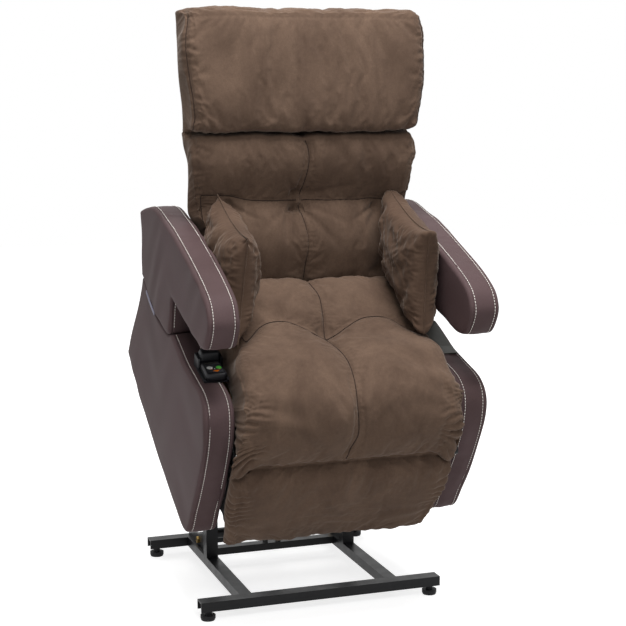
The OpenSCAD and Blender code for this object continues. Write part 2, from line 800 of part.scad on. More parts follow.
recline_len = norm(recline_crank - recline_foot);
recline_angle = angle_of(recline_crank - recline_foot);
module recline_motor() {
    color(black) raised() aimed(recline_foot, recline_angle, recline_x) actuator_body(190, 80, rod_r);
}
module recline_rod() {
    color(zinc) raised() aimed(recline_foot, recline_angle, recline_x)
        actuator_rod(160, recline_len, rod_r, hip_pin_r + recline_slack + 5, hip_pin_r + recline_slack, 0);
}
module motor_foot_pins() {
    color(zinc) raised() for (foot = [[recline_x, recline_foot], [legrest_x, legrest_foot]]) {
        cross_rod(pin_r, foot[0] - 24, foot[0] + 24, foot[1]);
        for (x = [-27, 22]) cross_rod(11, foot[0] + x, foot[0] + x + 5, foot[1]);
    }
}

// ---------- Side cushions ----------

// Square cushion with a seam all round: rings shrink towards the middle of each face
module side_cushion(side) {
    outline = smooth([
        [98, 486], [170, 490], [260, 499], [340, 508], [377, 513], [386, 560], [412, 612], [452, 670],
        [350, 677], [262, 690], [188, 708], [160, 626], [130, 552]
    ], 2);
    middle = [275, 596];
    sizes = [0.2, 0.45, 0.66, 0.82, 0.93, 1, 0.93, 0.82, 0.66, 0.45, 0.2];
    count = len(sizes);
    color(suede) raised() loft([
        for (k = [0 : count - 1])
            let (
                f = sizes[k],
                half = pillow_t / 2 * pow(1 - f * f, 0.62),
                x = (k < count / 2 ? -1 : 1) * half
            )
            [for (p = outline) let (q = middle + f * (p - middle)) [side * 232 + x, q[0], q[1]]]
    ], side * 232 - pillow_t / 2, side * 232 + pillow_t / 2);
}
module side_cushion_left() { side_cushion(-1); }
module side_cushion_right() { side_cushion(1); }

base_frame();
foot_glides();
lift_posts();
base_cross_tube();
post_pins();
base_bolts();
lift_links();
link_bushes();
guide_links();
lift_motor();
lift_rod();
lift_motor_pin();
seat_frame();
frame_brackets();
seat_deck();
carriage_plates();
carriage_pins();
tube_plugs();
hip_pins();
knee_pins();
side_panel_left();
side_panel_right();
arm_left();
arm_right();
seat_cushion();
rear_skirt();
control_box();
storage_pocket();
panel_lid();
handset_holder();
handset_body();
handset_keypad();
up_button();
down_button();
back_frame();
back_hinges();
back_crank_pin();
lumbar_cushion();
back_cushion();
headrest_pillow();
back_cover();
recline_motor();
recline_rod();
motor_foot_pins();
legrest_frame();
legrest_hinges();
legrest_crank_pin();
legrest_cushion();
legrest_motor();
legrest_rod();
side_cushion_left();
side_cushion_right();
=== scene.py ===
import math
import bmesh
import bpy
import numpy as np
from mathutils import Matrix, Vector


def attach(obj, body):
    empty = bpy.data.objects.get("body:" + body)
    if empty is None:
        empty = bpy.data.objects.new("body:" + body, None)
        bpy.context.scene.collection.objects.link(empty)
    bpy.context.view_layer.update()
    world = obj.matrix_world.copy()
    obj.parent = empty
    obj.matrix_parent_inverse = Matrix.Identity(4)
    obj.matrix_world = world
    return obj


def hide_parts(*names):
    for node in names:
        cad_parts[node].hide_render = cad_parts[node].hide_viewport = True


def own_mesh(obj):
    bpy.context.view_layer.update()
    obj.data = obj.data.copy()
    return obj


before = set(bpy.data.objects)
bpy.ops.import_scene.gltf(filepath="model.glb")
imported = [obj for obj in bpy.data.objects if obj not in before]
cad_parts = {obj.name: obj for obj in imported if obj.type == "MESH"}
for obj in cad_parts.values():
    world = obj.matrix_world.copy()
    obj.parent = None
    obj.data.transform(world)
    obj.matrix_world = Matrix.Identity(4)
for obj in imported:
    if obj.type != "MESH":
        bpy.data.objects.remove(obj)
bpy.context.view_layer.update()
scene = bpy.context.scene

# ---------- Places ----------
# The chair is drawn in its own upright frame, in millimetres: x across, y rearwards and z up from
# the lower front corner of the side panels. row() tilts it forward on the lift, in metres.
TILT = math.radians(25)
COS_TILT, SIN_TILT = math.cos(TILT), math.sin(TILT)
CORNER = (-187.0, 234.0)
BACK_LEAN = math.radians(24.7)
BACK_PIVOT = (420.0, 440.0)
PANEL_IN = 283.0
PANEL_OUT = 357.0
ARM_OUT = 360.0
SIDES = ((-1, "left"), (1, "right"))


def row(p):
    """Places of the chair frame, in millimetres, as places of the shared frame, in metres."""
    x, y, z = np.asarray(p, float).reshape(-1, 3).T
    return np.stack([x, CORNER[0] + COS_TILT * y - SIN_TILT * z, CORNER[1] + SIN_TILT * y + COS_TILT * z], 1) / 1000


def chair(p):
    """The other way round: from the shared frame to the chair frame."""
    x, y, z = np.asarray(p, float).reshape(-1, 3).T * 1000
    y, z = y - CORNER[0], z - CORNER[1]
    return np.stack([x, COS_TILT * y + SIN_TILT * z, COS_TILT * z - SIN_TILT * y], 1)


# Backrest places are given as s, up the back from its pivot, and t, rearwards
BACK_DIR = np.array([math.sin(BACK_LEAN), math.cos(BACK_LEAN)])
BACK_NORMAL = np.array([math.cos(BACK_LEAN), -math.sin(BACK_LEAN)])


def back_yz(st):
    """Places s and t of the backrest as y and z."""
    st = np.asarray(st, float).reshape(-1, 2)
    return np.array(BACK_PIVOT) + st[:, :1] * BACK_DIR + st[:, 1:] * BACK_NORMAL


def back_st(yz):
    """Places y and z as s and t of the backrest."""
    d = yz - np.array(BACK_PIVOT)
    return d @ BACK_DIR, d @ BACK_NORMAL


# ---------- Small maths ----------

def ease(v):
    """A soft step from 0 to 1 as v goes from 0 to 1."""
    u = np.clip(v, 0.0, 1.0)
    return u * u * (3 - 2 * u)


def own_side(x):
    """Numbers that grow outwards and differ on the two sides, so that their folds aren't mirrored."""
    return np.abs(x) + 300 * (x > 0)


def bell(v, width):
    """1 at v = 0, falling to nothing within about two widths."""
    return np.exp(-(np.asarray(v) / width) ** 2)


def smooth(points, steps, closed=True):
    """A smooth curve through points, with so many steps between each two."""
    p = np.asarray(points, float)
    m = len(p)
    at = (lambda i: p[i % m]) if closed else (lambda i: p[min(max(i, 0), m - 1)])
    out = []
    for i in range(m if closed else m - 1):
        a, b, c, d = (at(i + k) for k in (-1, 0, 1, 2))
        for k in range(steps):
            t = k / steps
            out.append(0.5 * (2 * b + (c - a) * t + (2 * a - 5 * b + 4 * c - d) * t * t
                              + (3 * b - a - 3 * c + d) * t ** 3))
    return np.array(out if closed else out + [p[-1]])


def unit(v):
    return v / np.maximum(np.linalg.norm(v, axis=-1, keepdims=True), 1e-9)


def run_length(path):
    """How far along the path each of its points lies."""
    return np.concatenate([[0], np.cumsum(np.linalg.norm(np.diff(path, axis=0), axis=1))])


def interp_rows(at, places, path):
    """Points of the path at the places at, where its own points lie at places."""
    return np.stack([np.interp(at, places, path[:, k]) for k in range(path.shape[1])], 1)


def resample(path, n, closed=False, places=()):
    """The path again as n points, evenly apart or closer together at the given places."""
    p = np.asarray(path, float)
    if closed:
        p = np.vstack([p, p[:1]])
    d = run_length(p)
    at = np.linspace(0, d[-1], n, endpoint=False) if closed else d[-1] * spread(n, places)
    return interp_rows(at, d, p)


def spread(n, places=()):
    """n numbers from 0 to 1, closer together at each given (place, width, weight)."""
    a = np.linspace(0, 1, 2001)
    density = np.ones(len(a)) + sum(weight * bell(a - at, width) for at, width, weight in places)
    total = np.concatenate([[0], np.cumsum((density[1:] + density[:-1]) / 2)])
    return np.interp(np.linspace(0, 1, n), total / total[-1], a)


def place_on(path, point):
    """How far along a path, from 0 to 1, its nearest place to point lies."""
    d = run_length(path)
    return float(d[int(np.argmin(np.linalg.norm(path - np.ravel(point), axis=1)))] / d[-1])


def curve_through(at, points):
    """Smooth values at the places at, through points given as (place, value) in rising order."""
    p = np.array(points, float)
    fine = smooth(p, 12, False)
    return np.interp(at, fine[:, 0], fine[:, 1])


def crinkle(a, b, size, seed, stretch=1.0):
    """An irregular ripple about -1 to 1 over a and b, with waves about size long along a and
    stretch times as long along b. The same seed always gives the same ripple."""
    r = np.random.default_rng(seed)
    a, b = np.asarray(a, float) / size, np.asarray(b, float) / (size * stretch)
    a = a + 0.3 * np.sin(2 * math.pi * (0.41 * b + 0.23 * a) + r.uniform(0, 6.28))
    out = 0.0
    for _ in range(6):
        turn, freq, phase = r.uniform(-0.6, 0.6), r.uniform(0.65, 1.5), r.uniform(0, 6.28)
        out = out + np.sin(2 * math.pi * freq * (a * math.cos(turn) + b * math.sin(turn)) + phase)
    return out / 2.6


def gathers(a, b, size, seed, stretch=3.0):
    """Rounded folds with sharp valleys between them, from about -0.6 to 1, that run along b."""
    return 1.4 * np.abs(crinkle(a, b, size, seed, stretch)) - 0.6


def crease(a, b, points, width, fade=1.0):
    """How close each place is to a line through points, 1 on it, and dying out along the line."""
    p = np.stack([a, b], 1)
    q = np.asarray(points, float)
    lengths = np.linalg.norm(np.diff(q, axis=0), axis=1)
    near, along = np.full(len(p), 1e9), np.zeros(len(p))
    done = 0.0
    for k, length in enumerate(lengths):
        d = q[k + 1] - q[k]
        t = np.clip((p - q[k]) @ d / (length * length), 0, 1)
        away = np.linalg.norm(p - q[k] - t[:, None] * d, axis=1)
        hit = away < near
        near = np.where(hit, away, near)
        along = np.where(hit, done + t * length, along)
        done += length
    return bell(near, width) * (1 - along / done) ** fade


# ---------- Meshes ----------

def mesh_object(name, verts, faces):
    """A smooth-shaded mesh of places in the shared frame."""
    me = bpy.data.meshes.new(name)
    me.from_pydata([tuple(map(float, v)) for v in verts], [], [tuple(int(k) for k in f) for f in faces])
    me.validate()
    me.update()
    o = bpy.data.objects.new(name, me)
    scene.collection.objects.link(o)
    me.polygons.foreach_set("use_smooth", [True] * len(me.polygons))
    return o


def closed_mesh(name, verts, faces):
    """The same, with all its normals turned outwards."""
    o = mesh_object(name, verts, faces)
    bm = bmesh.new()
    bm.from_mesh(o.data)
    bmesh.ops.recalc_face_normals(bm, faces=bm.faces)
    bm.to_mesh(o.data)
    bm.free()
    o.data.update()
    return o


def grid(rows, cols, wrap=True, wrap_rows=False, first=0):
    """Quads between rows of cols vertices each, numbered from first. wrap joins each row's ends."""
    quads = []
    for i in range(rows if wrap_rows else rows - 1):
        a, b = first + i * cols, first + (i + 1) % rows * cols
        for k in range(cols if wrap else cols - 1):
            m = (k + 1) % cols
            quads.append((a + k, a + m, b + m, b + k))
    return quads


def vectors_of(items, key="co"):
    a = np.empty(len(items) * 3)
    items.foreach_get(key, a)
    return a.reshape(-1, 3)


def co_of(o):
    return vectors_of(o.data.vertices)


def normals_of(o):
    return vectors_of(o.data.vertex_normals, "vector")


def set_co(o, a):
    o.data.vertices.foreach_set("co", np.asarray(a, np.float32).ravel())
    o.data.update()


def neighbours_mean(o, values, times):
    """Values at the vertices, averaged over their neighbours again and again."""
    e = np.empty(len(o.data.edges) * 2, np.int64)
    o.data.edges.foreach_get("vertices", e)
    e = e.reshape(-1, 2)
    n = len(o.data.vertices)
    i, j = np.concatenate([e, e[:, ::-1]]).T
    count = np.maximum(np.bincount(i, minlength=n), 1)
    v = np.asarray(values, float).copy()
    for _ in range(times):
        v = 0.5 * v + 0.5 * np.bincount(i, weights=v[j], minlength=n) / count
    return v


def subdivide(o):
    m = o.modifiers.new("Smooth", "SUBSURF")
    m.levels = m.render_levels = 1


class Cushion:
    """A stuffed form between a face path and a back path, both in y and z from one end to the other.
    It keeps, for each vertex, its place across (x), its place along the path (t), its column and whether
    it is on the face. rows and columns say where the mesh is finer, as spread() takes them."""

    def __init__(self, name, face, back, half_width, across=84, along=90, round_r=34, edge=0.3, bulge=5.0,
                 rows=(), columns=((0, 0.05, 1.2), (0.5, 0.025, 1.8), (1, 0.05, 1.2))):
        f, b = (resample(path, along, places=rows) for path in (face, back))
        outline = np.vstack([f, b[::-1][1:-1]])
        middle = (f + b) / 2
        middle = np.vstack([middle, middle[::-1][1:-1]])
        n = len(outline)
        hw = half_width(outline)
        verts = []
        for u in 2 * spread(across, columns) - 1:
            c = np.clip(hw * (1 - abs(u)) / round_r, 0, 1)
            full = edge + (1 - edge) * np.sqrt(np.clip(1 - (1 - c) ** 2, 0, 1))
            x = np.sign(u) * (np.abs(u) * (hw - bulge) + bulge * (1 - (1 - abs(u)) ** 2))
            verts.append(np.column_stack([x, middle + (outline - middle) * full[:, None]]))
        verts = np.concatenate(verts)
        quads = [(a, d, c, b) for a, b, c, d in grid(across, n)]
        for base, turn in ((0, 1), ((across - 1) * n, -1)):
            for i in range(along - 1):
                q = dict.fromkeys((base + i, base + i + 1, base + n - i - 1, base + -i % n))
                if len(q) > 2:
                    quads.append(tuple(q)[::turn])
        places = spread(along, rows)
        self.o = closed_mesh(name, row(verts), quads)
        self.p = verts
        self.x = verts[:, 0]
        self.t = np.tile(np.concatenate([places, places[::-1][1:-1]]), across)
        self.face = np.tile(np.arange(n) < along, across)
        self.column = np.repeat(np.arange(across), n)
        self.middle = self.face & (self.column == across // 2)

    def push(self, amount):
        """Moves the vertices along their normals by amount, in millimetres."""
        set_co(self.o, co_of(self.o) + normals_of(self.o) * (np.asarray(amount) / 1000)[:, None])

    def shift(self, x=0.0, y=0.0, z=0.0):
        """Moves the vertices in the chair frame, in millimetres."""
        moves = np.stack(np.broadcast_arrays(x, y, z, self.x)[:3], 1)
        set_co(self.o, row(chair(co_of(self.o)) + moves))


PILLOW_CROWN = 3.4


class Pillow(Cushion):
    """A knife-edged pillow on four sides in y and z, each given from its first corner to its second:
    bottom (front to rear), rear (bottom to top), top (front to rear) and front (bottom to top)."""

    def __init__(self, name, bottom, rear, top, front, x_mid, thick, n=56, m=48):
        bo, to = (resample(smooth(line, 8, False), n) for line in (bottom, top))
        fr, re = (resample(smooth(line, 8, False), m) for line in (front, rear))
        u = np.linspace(0, 1, n)[:, None, None]
        v = np.linspace(0, 1, m)[None, :, None]
        ruled = (1 - v) * bo[:, None] + v * to[:, None] + (1 - u) * fr[None] + u * re[None]
        corners = ((1 - u) * (1 - v) * bo[0] + u * (1 - v) * bo[-1] + (1 - u) * v * to[0] + u * v * to[-1])
        flat = ruled - corners
        half = thick / 2
        for w in (u, v):
            half = half * np.sqrt(np.clip(1 - np.abs(2 * w[..., 0] - 1) ** PILLOW_CROWN, 0, 1))
        inner = np.zeros((n, m), bool)
        inner[1:-1, 1:-1] = True
        index = np.arange(n * m).reshape(n, m)
        other = index.copy()
        other[inner] = n * m + np.arange(inner.sum())
        other = other.ravel()
        one = np.concatenate([x_mid + half[..., None], flat], 2).reshape(-1, 3)
        two = np.concatenate([x_mid - half[..., None], flat], 2)[inner]
        verts = np.vstack([one, two])
        quads = []
        for a, b, c, d in grid(n, m, False):
            quads += [(a, d, c, b), (other[a], other[b], other[c], other[d])]
        self.o = closed_mesh(name, row(verts), quads)
        self.u, self.v = (np.concatenate([w.ravel(), w[inner]])
                          for w in np.broadcast_arrays(u[..., 0], v[..., 0]))
        self.x = verts[:, 0] - x_mid
        self.rim = np.concatenate([index[:, 0], index[-1, 1:], index[-2::-1, -1], index[0, -2:0:-1]])


FACE_RINGS = [0.05 + 0.0575 * k for k in range(16)] + [0.97]
ROLL_R = 9.0


class Board(Cushion):
    """An upholstered board: an outline in y and z, between two x planes, with rounded edges, a shallow
    groove along each sewn edge and crowned faces."""

    def __init__(self, name, outline, x0, x1, r, centre, crown=2.5, n=260):
        line = resample(smooth(outline, 10), n, True)
        d = np.roll(line, -1, 0) - np.roll(line, 1, 0)
        for _ in range(3):
            d = (np.roll(d, 1, 0) + 2 * d + np.roll(d, -1, 0)) / 4
        d = unit(d)
        inward = np.stack([-d[:, 1], d[:, 0]], 1)
        self.line, self.inward = line, inward
        # Depth and sink of each ring: round the edge, then down into the groove and out again
        edge = [(0, r)] + [(r * (1 - math.cos(a)), r * (1 - math.sin(a)))
                           for a in (math.radians(18 * k) for k in range(1, 6))]
        edge += [(r + 0.9, 1.3), (r + 1.8, 1.5), (r + 2.7, 0.5), (r + 4.2, 0)]
        band = edge[-1][0]
        c = np.array(centre, float)
        caps = [(crown * (1 - f ** 4), c + f * (line + inward * r - c)) for f in FACE_RINGS]
        rings = [(x0 - out, p) for out, p in caps]
        rings += [(x0 + depth, line + inward * sink) for depth, sink in edge]
        rings += [(x0 + band + g * (x1 - x0 - 2 * band), line - inward * 1.2 * math.sin(math.pi * g))
                  for g in (0.1, 0.25, 0.4, 0.6, 0.75, 0.9)]
        rings += [(x1 - depth, line + inward * sink) for depth, sink in edge[::-1]]
        rings += [(x1 + out, p) for out, p in caps[::-1]]
        verts = [np.column_stack([np.full(n, x), p]) for x, p in rings]
        verts = np.vstack(verts + [np.array([[x0 - crown, *c], [x1 + crown, *c]])])
        quads = grid(len(rings), n)
        m = len(rings) * n
        for i in range(n):
            k = (i + 1) % n
            quads += [(m, k, i), (m + 1, m - n + i, m - n + k)]
        self.o = closed_mesh(name, row(verts), quads)
        self.p = verts
        self.x = verts[:, 0]

    def path(self, start, stop, x, out=0.0):
        """Row points along the outline from the place nearest start to the one nearest stop, at plane x."""
        i, j = (int(np.argmin(np.linalg.norm(self.line - np.array(p), axis=1))) for p in (start, stop))
        n = len(self.line)
        k = np.arange(i, j + 1 if i <= j else j + 1 + n) % n
        return row(np.column_stack([np.full(len(k), x), self.line[k] - self.inward[k] * out]))

    def soften(self, seed, size):
        """Small dents and stretched folds in the cover, none of them across its sewn edges."""
        x, y, z = self.p.T
        band = ease((np.abs(x - x.mean()) - (x.max() - x.min()) / 2 + 8) / -8)
        self.push(size * crinkle(y + z, y - z + 300 * (x > x.mean()), 210, seed, 1.3)
                  + 0.4 * size * crinkle(y - z, x * 2, 46, seed + 9, 2.0) * band)


CLOTH = {"quality": 3, "mass": 0.3, "tension_stiffness": 12, "compression_stiffness": 12, "shear_stiffness": 4,
         "bending_stiffness": 0.4, "air_damping": 3, "use_pressure": True, "uniform_pressure_force": 4.0,
         "vertex_group_mass": "pin", "pin_stiffness": 1.0, "shrink_min": -0.05, "shrink_max": -0.05}
CLOTH_FRAMES = 18
# What is wider than this many rounds of averaging is the cushion's swelling, and isn't kept
FOLD_SPREAD = 40
SEAM_R = 0.0011


def puff(cushion, pinned, limit):
    """Blows the cushion up as cloth, held at its seams, and keeps the folds that this makes, up to limit."""
    o = cushion.o
    rest, normals = co_of(o), normals_of(o)
    work = o.copy()
    work.data = o.data.copy()
    work.name = o.name + "_cloth"
    scene.collection.objects.link(work)
    group = work.vertex_groups.new(name="pin")
    for k, weight in enumerate(np.clip(np.asarray(pinned, float), 0, 1)):
        if weight > 0.02:
            group.add([k], float(weight), "REPLACE")
    m = work.modifiers.new("Cloth", "CLOTH")
    for key, value in CLOTH.items():
        setattr(m.settings, key, value)
    m.settings.effector_weights.gravity = 0
    m.collision_settings.use_collision = False
    m.collision_settings.use_self_collision = False
    m.point_cache.frame_start = 1
    m.point_cache.frame_end = CLOTH_FRAMES
    for f in range(1, CLOTH_FRAMES + 1):
        scene.frame_set(f)
    deps = bpy.context.evaluated_depsgraph_get()
    moved = vectors_of(work.evaluated_get(deps).data.vertices)
    scene.frame_set(1)
    bpy.data.objects.remove(work)
    out = ((moved - rest) * normals).sum(1) * 1000
    folds = out - neighbours_mean(o, out, FOLD_SPREAD)
    cushion.push(limit * np.tanh(folds / limit))


def tube(name, path, r, sides=6, closed=False):
    """A round cord along a path of row points."""
    p = np.asarray(path, float)
    n = len(p)
    d = unit(np.roll(p, -1, 0) - np.roll(p, 1, 0) if closed else np.gradient(p, axis=0))
    ref = np.array([1.0, 0, 0]) if np.abs(d[:, 0]).mean() < 0.8 else np.array([0, 0, 1.0])
    a = unit(np.cross(d, ref))
    b = np.cross(d, a)
    turns = [2 * math.pi * k / sides for k in range(sides)]
    verts = np.stack([p + r * (math.cos(w) * a + math.sin(w) * b) for w in turns], 1).reshape(-1, 3)
    faces = grid(n, sides, wrap_rows=closed)
    if not closed:
        faces += [tuple(range(sides - 1, -1, -1)), tuple(range((n - 1) * sides, n * sides))]
    return closed_mesh(name, verts, faces)


def seam(name, cushion, chosen, order, body, lift=0.0004):
    """A fine dark seam cord laid through the chosen vertices of a cushion, taken in the order given: it stands for
    the seam's thread, and its dark colour is painted shade, the shade in the seam's groove.
    """
    k = np.flatnonzero(chosen)
    k = k[np.argsort(np.asarray(order)[k])]
    p = (co_of(cushion.o) + normals_of(cushion.o) * lift)[k]
    for _ in range(3):
        p[1:-1] = (p[:-2] + 2 * p[1:-1] + p[2:]) / 4
    o = tube(name, resample(p, max(30, len(p) * 2)), SEAM_R)
    finish_with(o, "seam")
    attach(o, body)
    return o


def nearest_in_columns(columns, gap, among):
    """Marks, in each column of vertices, the one among those allowed that has the smallest gap."""
    out = np.zeros(len(gap), bool)
    for c in np.unique(columns):
        k = np.flatnonzero((columns == c) & among)
        if len(k):
            out[k[np.argmin(gap[k])]] = True
    return out


def ribbon(name, line, x, width, thick):
    """A flat strip that stands out from plane x along a line in y and z, with a softly rounded section."""
    p = resample(smooth(line, 8, False), 40)
    d = unit(np.gradient(p, axis=0))
    across = np.stack([-d[:, 1], d[:, 0]], 1)
    taper = 1 - 0.5 * (np.abs(np.linspace(-1, 1, len(p))) ** 24)
    verts = []
    for k in range(12):
        c, s = math.cos(math.pi * k / 6), math.sin(math.pi * k / 6)
        c = math.copysign(abs(c) ** 0.5, c)
        verts.append(np.column_stack([x + s * thick / 2 * taper, p + across * (c * width / 2 * taper)[:, None]]))
    verts = np.stack(verts, 1).reshape(-1, 3)
    ends = [tuple(range(11, -1, -1)), tuple(range(len(verts) - 12, len(verts)))]
    return closed_mesh(name, row(verts), grid(len(p), 12) + ends)


def stitches(name, path, length=5.6, gap=1.9, r=0.85):
    """A row of thread stitches along a path of row points, in metres; sizes in millimetres."""
    p = np.asarray(path, float)
    d = run_length(p) * 1000
    verts, faces = [], []
    profile = np.array([(0.0, 0.25), (0.12, 0.8), (0.5, 1.0), (0.88, 0.8), (1.0, 0.25)])
    turns = [2 * math.pi * k / 6 for k in range(6)]
    s = gap
    while s + length < d[-1]:
        mid = interp_rows(s + profile[:, 0] * length, d, p)
        along = unit(mid[-1] - mid[0])
        a = unit(np.cross(along, [1.0, 0, 0] if abs(along[0]) < 0.8 else [0, 0, 1.0]))
        b = np.cross(along, a)
        n = len(verts)
        for c, w in zip(mid, profile[:, 1]):
            verts += [c + (r / 1000) * w * (math.cos(q) * a + math.sin(q) * b) for q in turns]
        faces += grid(len(mid), 6, first=n)
        faces += [tuple(range(n + 5, n - 1, -1)), tuple(range(len(verts) - 6, len(verts)))]
        s += length + gap
    return mesh_object(name, verts, faces)


def slab(name, front, back):
    """A thin closed cloth between two grids of places in the chair frame, alike in rows and columns."""
    rows, cols = front.shape[:2]
    n = rows * cols
    index = np.arange(n).reshape(rows, cols)
    rim = [*index[0], *index[1:, -1], *index[-1, -2::-1], *index[-2:0:-1, 0]]
    faces = []
    for a, b, c, d in grid(rows, cols, False):
        faces += [(a, b, c, d), (n + a, n + d, n + c, n + b)]
    faces += [(a, n + a, n + b, b) for a, b in zip(rim, rim[1:] + rim[:1])]
    return closed_mesh(name, row(np.concatenate([front, back]).reshape(-1, 3)), faces)


# ---------- Materials ----------

def rgb(code):
    """A colour written as six hexadecimal digits, as linear values."""
    parts = [int(code[k:k + 2], 16) / 255 for k in (0, 2, 4)]
    return (*[v / 12.92 if v <= 0.04045 else ((v + 0.055) / 1.055) ** 2.4 for v in parts], 1.0)


def put(tree, socket, value):
    """Links a socket's output to the socket, or sets a plain value on it."""
    if hasattr(value, "links"):
        tree.links.new(value, socket)
    else:
        socket.default_value = value


def add_node(tree, kind, inputs=None, **settings):
    """A new node with its settings, and its inputs by name or number."""
    n = tree.nodes.new(kind)
    for key, value in settings.items():
        setattr(n, key, value)
    for key, value in (inputs or {}).items():
        put(tree, n.inputs[key], value)
    return n


class Surface:
    """A Principled material with procedural colour, roughness and bump."""

    def __init__(self, name, **plain):
        self.m = bpy.data.materials.new(name)
        self.m.use_nodes = True
        self.t = self.m.node_tree
        self.bsdf = self.t.nodes["Principled BSDF"]
        for key, value in plain.items():
            self.bsdf.inputs[key.replace("_", " ")].default_value = value
        self.coords = self.t.nodes.new("ShaderNodeTexCoord").outputs["Object"]
        self.normal = None

    def noise(self, scale, detail=3.0, rough=0.55, stretch=None, distortion=0.0):
        at = self.coords
        if stretch:
            at = add_node(self.t, "ShaderNodeMapping", {"Vector": at, "Scale": stretch}).outputs[0]
        return add_node(self.t, "ShaderNodeTexNoise", {
            "Vector": at, "Scale": scale, "Detail": detail, "Roughness": rough,
            "Distortion": distortion}).outputs["Fac"]

    def cells(self, scale):
        return add_node(self.t, "ShaderNodeTexVoronoi", {"Vector": self.coords, "Scale": scale}).outputs["Distance"]

    def ramp(self, fac, *stops):
        """Colours, each given as a place and a code, over fac."""
        n = add_node(self.t, "ShaderNodeValToRGB", {0: fac})
        e = n.color_ramp.elements
        while len(e) < len(stops):
            e.new(0.5)
        for k, (at, code) in enumerate(stops):
            e[k].position = at
            e[k].color = rgb(code)
        return n.outputs["Color"]

    def span(self, fac, low, high):
        """From low to high as the noise goes over most of its range."""
        return add_node(self.t, "ShaderNodeMapRange", {
            "Value": fac, "From Min": 0.25, "From Max": 0.75, "To Min": low, "To Max": high}).outputs[0]

    def over(self, tone, fac, most, code):
        """The tone with up to so much of another colour over it, by the noise fac."""
        return add_node(self.t, "ShaderNodeMix", {
            "Factor": self.span(fac, 0.0, most), 6: tone, 7: rgb(code)}, data_type="RGBA").outputs[2]

    def finish(self, tone, rough, *bumps):
        """Sets colour and roughness, and lays bumps over each other, each given as height, strength and
        distance."""
        put(self.t, self.bsdf.inputs["Base Color"], tone)
        put(self.t, self.bsdf.inputs["Roughness"], self.span(*rough))
        for height, strength, distance in bumps:
            n = add_node(self.t, "ShaderNodeBump", {"Strength": strength, "Distance": distance, "Height": height})
            if self.normal is not None:
                self.t.links.new(self.normal, n.inputs["Normal"])
            self.normal = n.outputs[0]
        self.t.links.new(self.normal, self.bsdf.inputs["Normal"])
        return self.m


def suede_material(name, *tones):
    s = Surface(name, Sheen_Weight=0.22, Sheen_Roughness=0.4, Sheen_Tint=(0.78, 0.68, 0.60, 1),
                Specular_IOR_Level=0.1)
    brushed = s.noise(8.0, 4.0, 0.65, (1.0, 1.0, 0.5), 0.9)
    streaks = s.noise(42.0, 4.0, 0.7, (1.0, 1.0, 0.55), 0.4)
    mottle = s.noise(150.0, 3.0, 0.75)
    nap = s.noise(560.0, 3.0, 0.7)
    tone = s.ramp(brushed, (0.3, tones[0]), (0.5, tones[1]), (0.7, tones[2]))
    tone = s.over(tone, streaks, 0.36, tones[3])
    tone = s.over(tone, mottle, 0.34, "43342b")
    tone = s.over(tone, nap, 0.36, "3d2f27")
    return s.finish(tone, (streaks, 0.86, 0.98), (streaks, 0.2, 0.0014), (mottle, 0.35, 0.0009), (nap, 0.35, 0.0004))


def leatherette_material():
    s = Surface("leatherette", Specular_IOR_Level=0.08)
    cloud = s.noise(5.0, 3.0)
    grain = s.cells(430.0)
    pores = s.noise(900.0, 2.0)
    tone = s.over(s.ramp(cloud, (0.3, "493a3a"), (0.7, "544445")), grain, 0.22, "3c2f30")
    return s.finish(tone, (cloud, 0.58, 0.68), (grain, 0.16, 0.0005), (pores, 0.12, 0.0002))


def painted_steel_material():
    s = Surface("painted_steel", Specular_IOR_Level=0.2)
    wear = s.noise(24.0, 5.0, 0.6)
    peel = s.noise(420.0, 2.0)
    tone = s.ramp(wear, (0.3, "0f0f11"), (0.62, "161618"), (0.85, "222123"))
    return s.finish(tone, (wear, 0.30, 0.46), (peel, 0.2, 0.0002))


def zinc_material():
    s = Surface("zinc_steel", Metallic=1.0)
    spangle = s.cells(120.0)
    fine = s.noise(300.0, 4.0)
    return s.finish(s.ramp(spangle, (0.1, "a8a9aa"), (0.7, "c4c4c2")), (fine, 0.28, 0.42), (fine, 0.15, 0.0002))


def brass_material():
    s = Surface("brass_bolt", Metallic=1.0)
    fine = s.noise(160.0, 4.0)
    return s.finish(s.ramp(fine, (0.3, "9d7f45"), (0.7, "c4a565")), (fine, 0.28, 0.45), (fine, 0.15, 0.0002))


def plastic_material(name, dark, light, rough=(0.4, 0.52), grain=700.0):
    s = Surface(name, Specular_IOR_Level=0.25)
    cloud = s.noise(18.0, 3.0)
    texture = s.noise(grain, 2.0)
    return s.finish(s.ramp(cloud, (0.3, dark), (0.7, light)), (texture, *rough), (texture, 0.25, 0.0002))


def plywood_material():
    s = Surface("plywood")
    grain = s.noise(9.0, 6.0, 0.6, (1.0, 9.0, 9.0), 1.2)
    pores = s.noise(240.0, 3.0, 0.6, (0.15, 1.0, 1.0))
    tone = s.over(s.ramp(grain, (0.25, "a98358"), (0.5, "c49c6c"), (0.75, "d3b083")), pores, 0.25, "8d6a44")
    return s.finish(tone, (pores, 0.55, 0.72), (grain, 0.2, 0.0005))


def thread_material():
    s = Surface("contrast_thread")
    twist = s.noise(900.0, 3.0)
    return s.finish(s.ramp(twist, (0.3, "d6d0c8"), (0.7, "f2ede6")), (twist, 0.6, 0.75), (twist, 0.4, 0.0003))


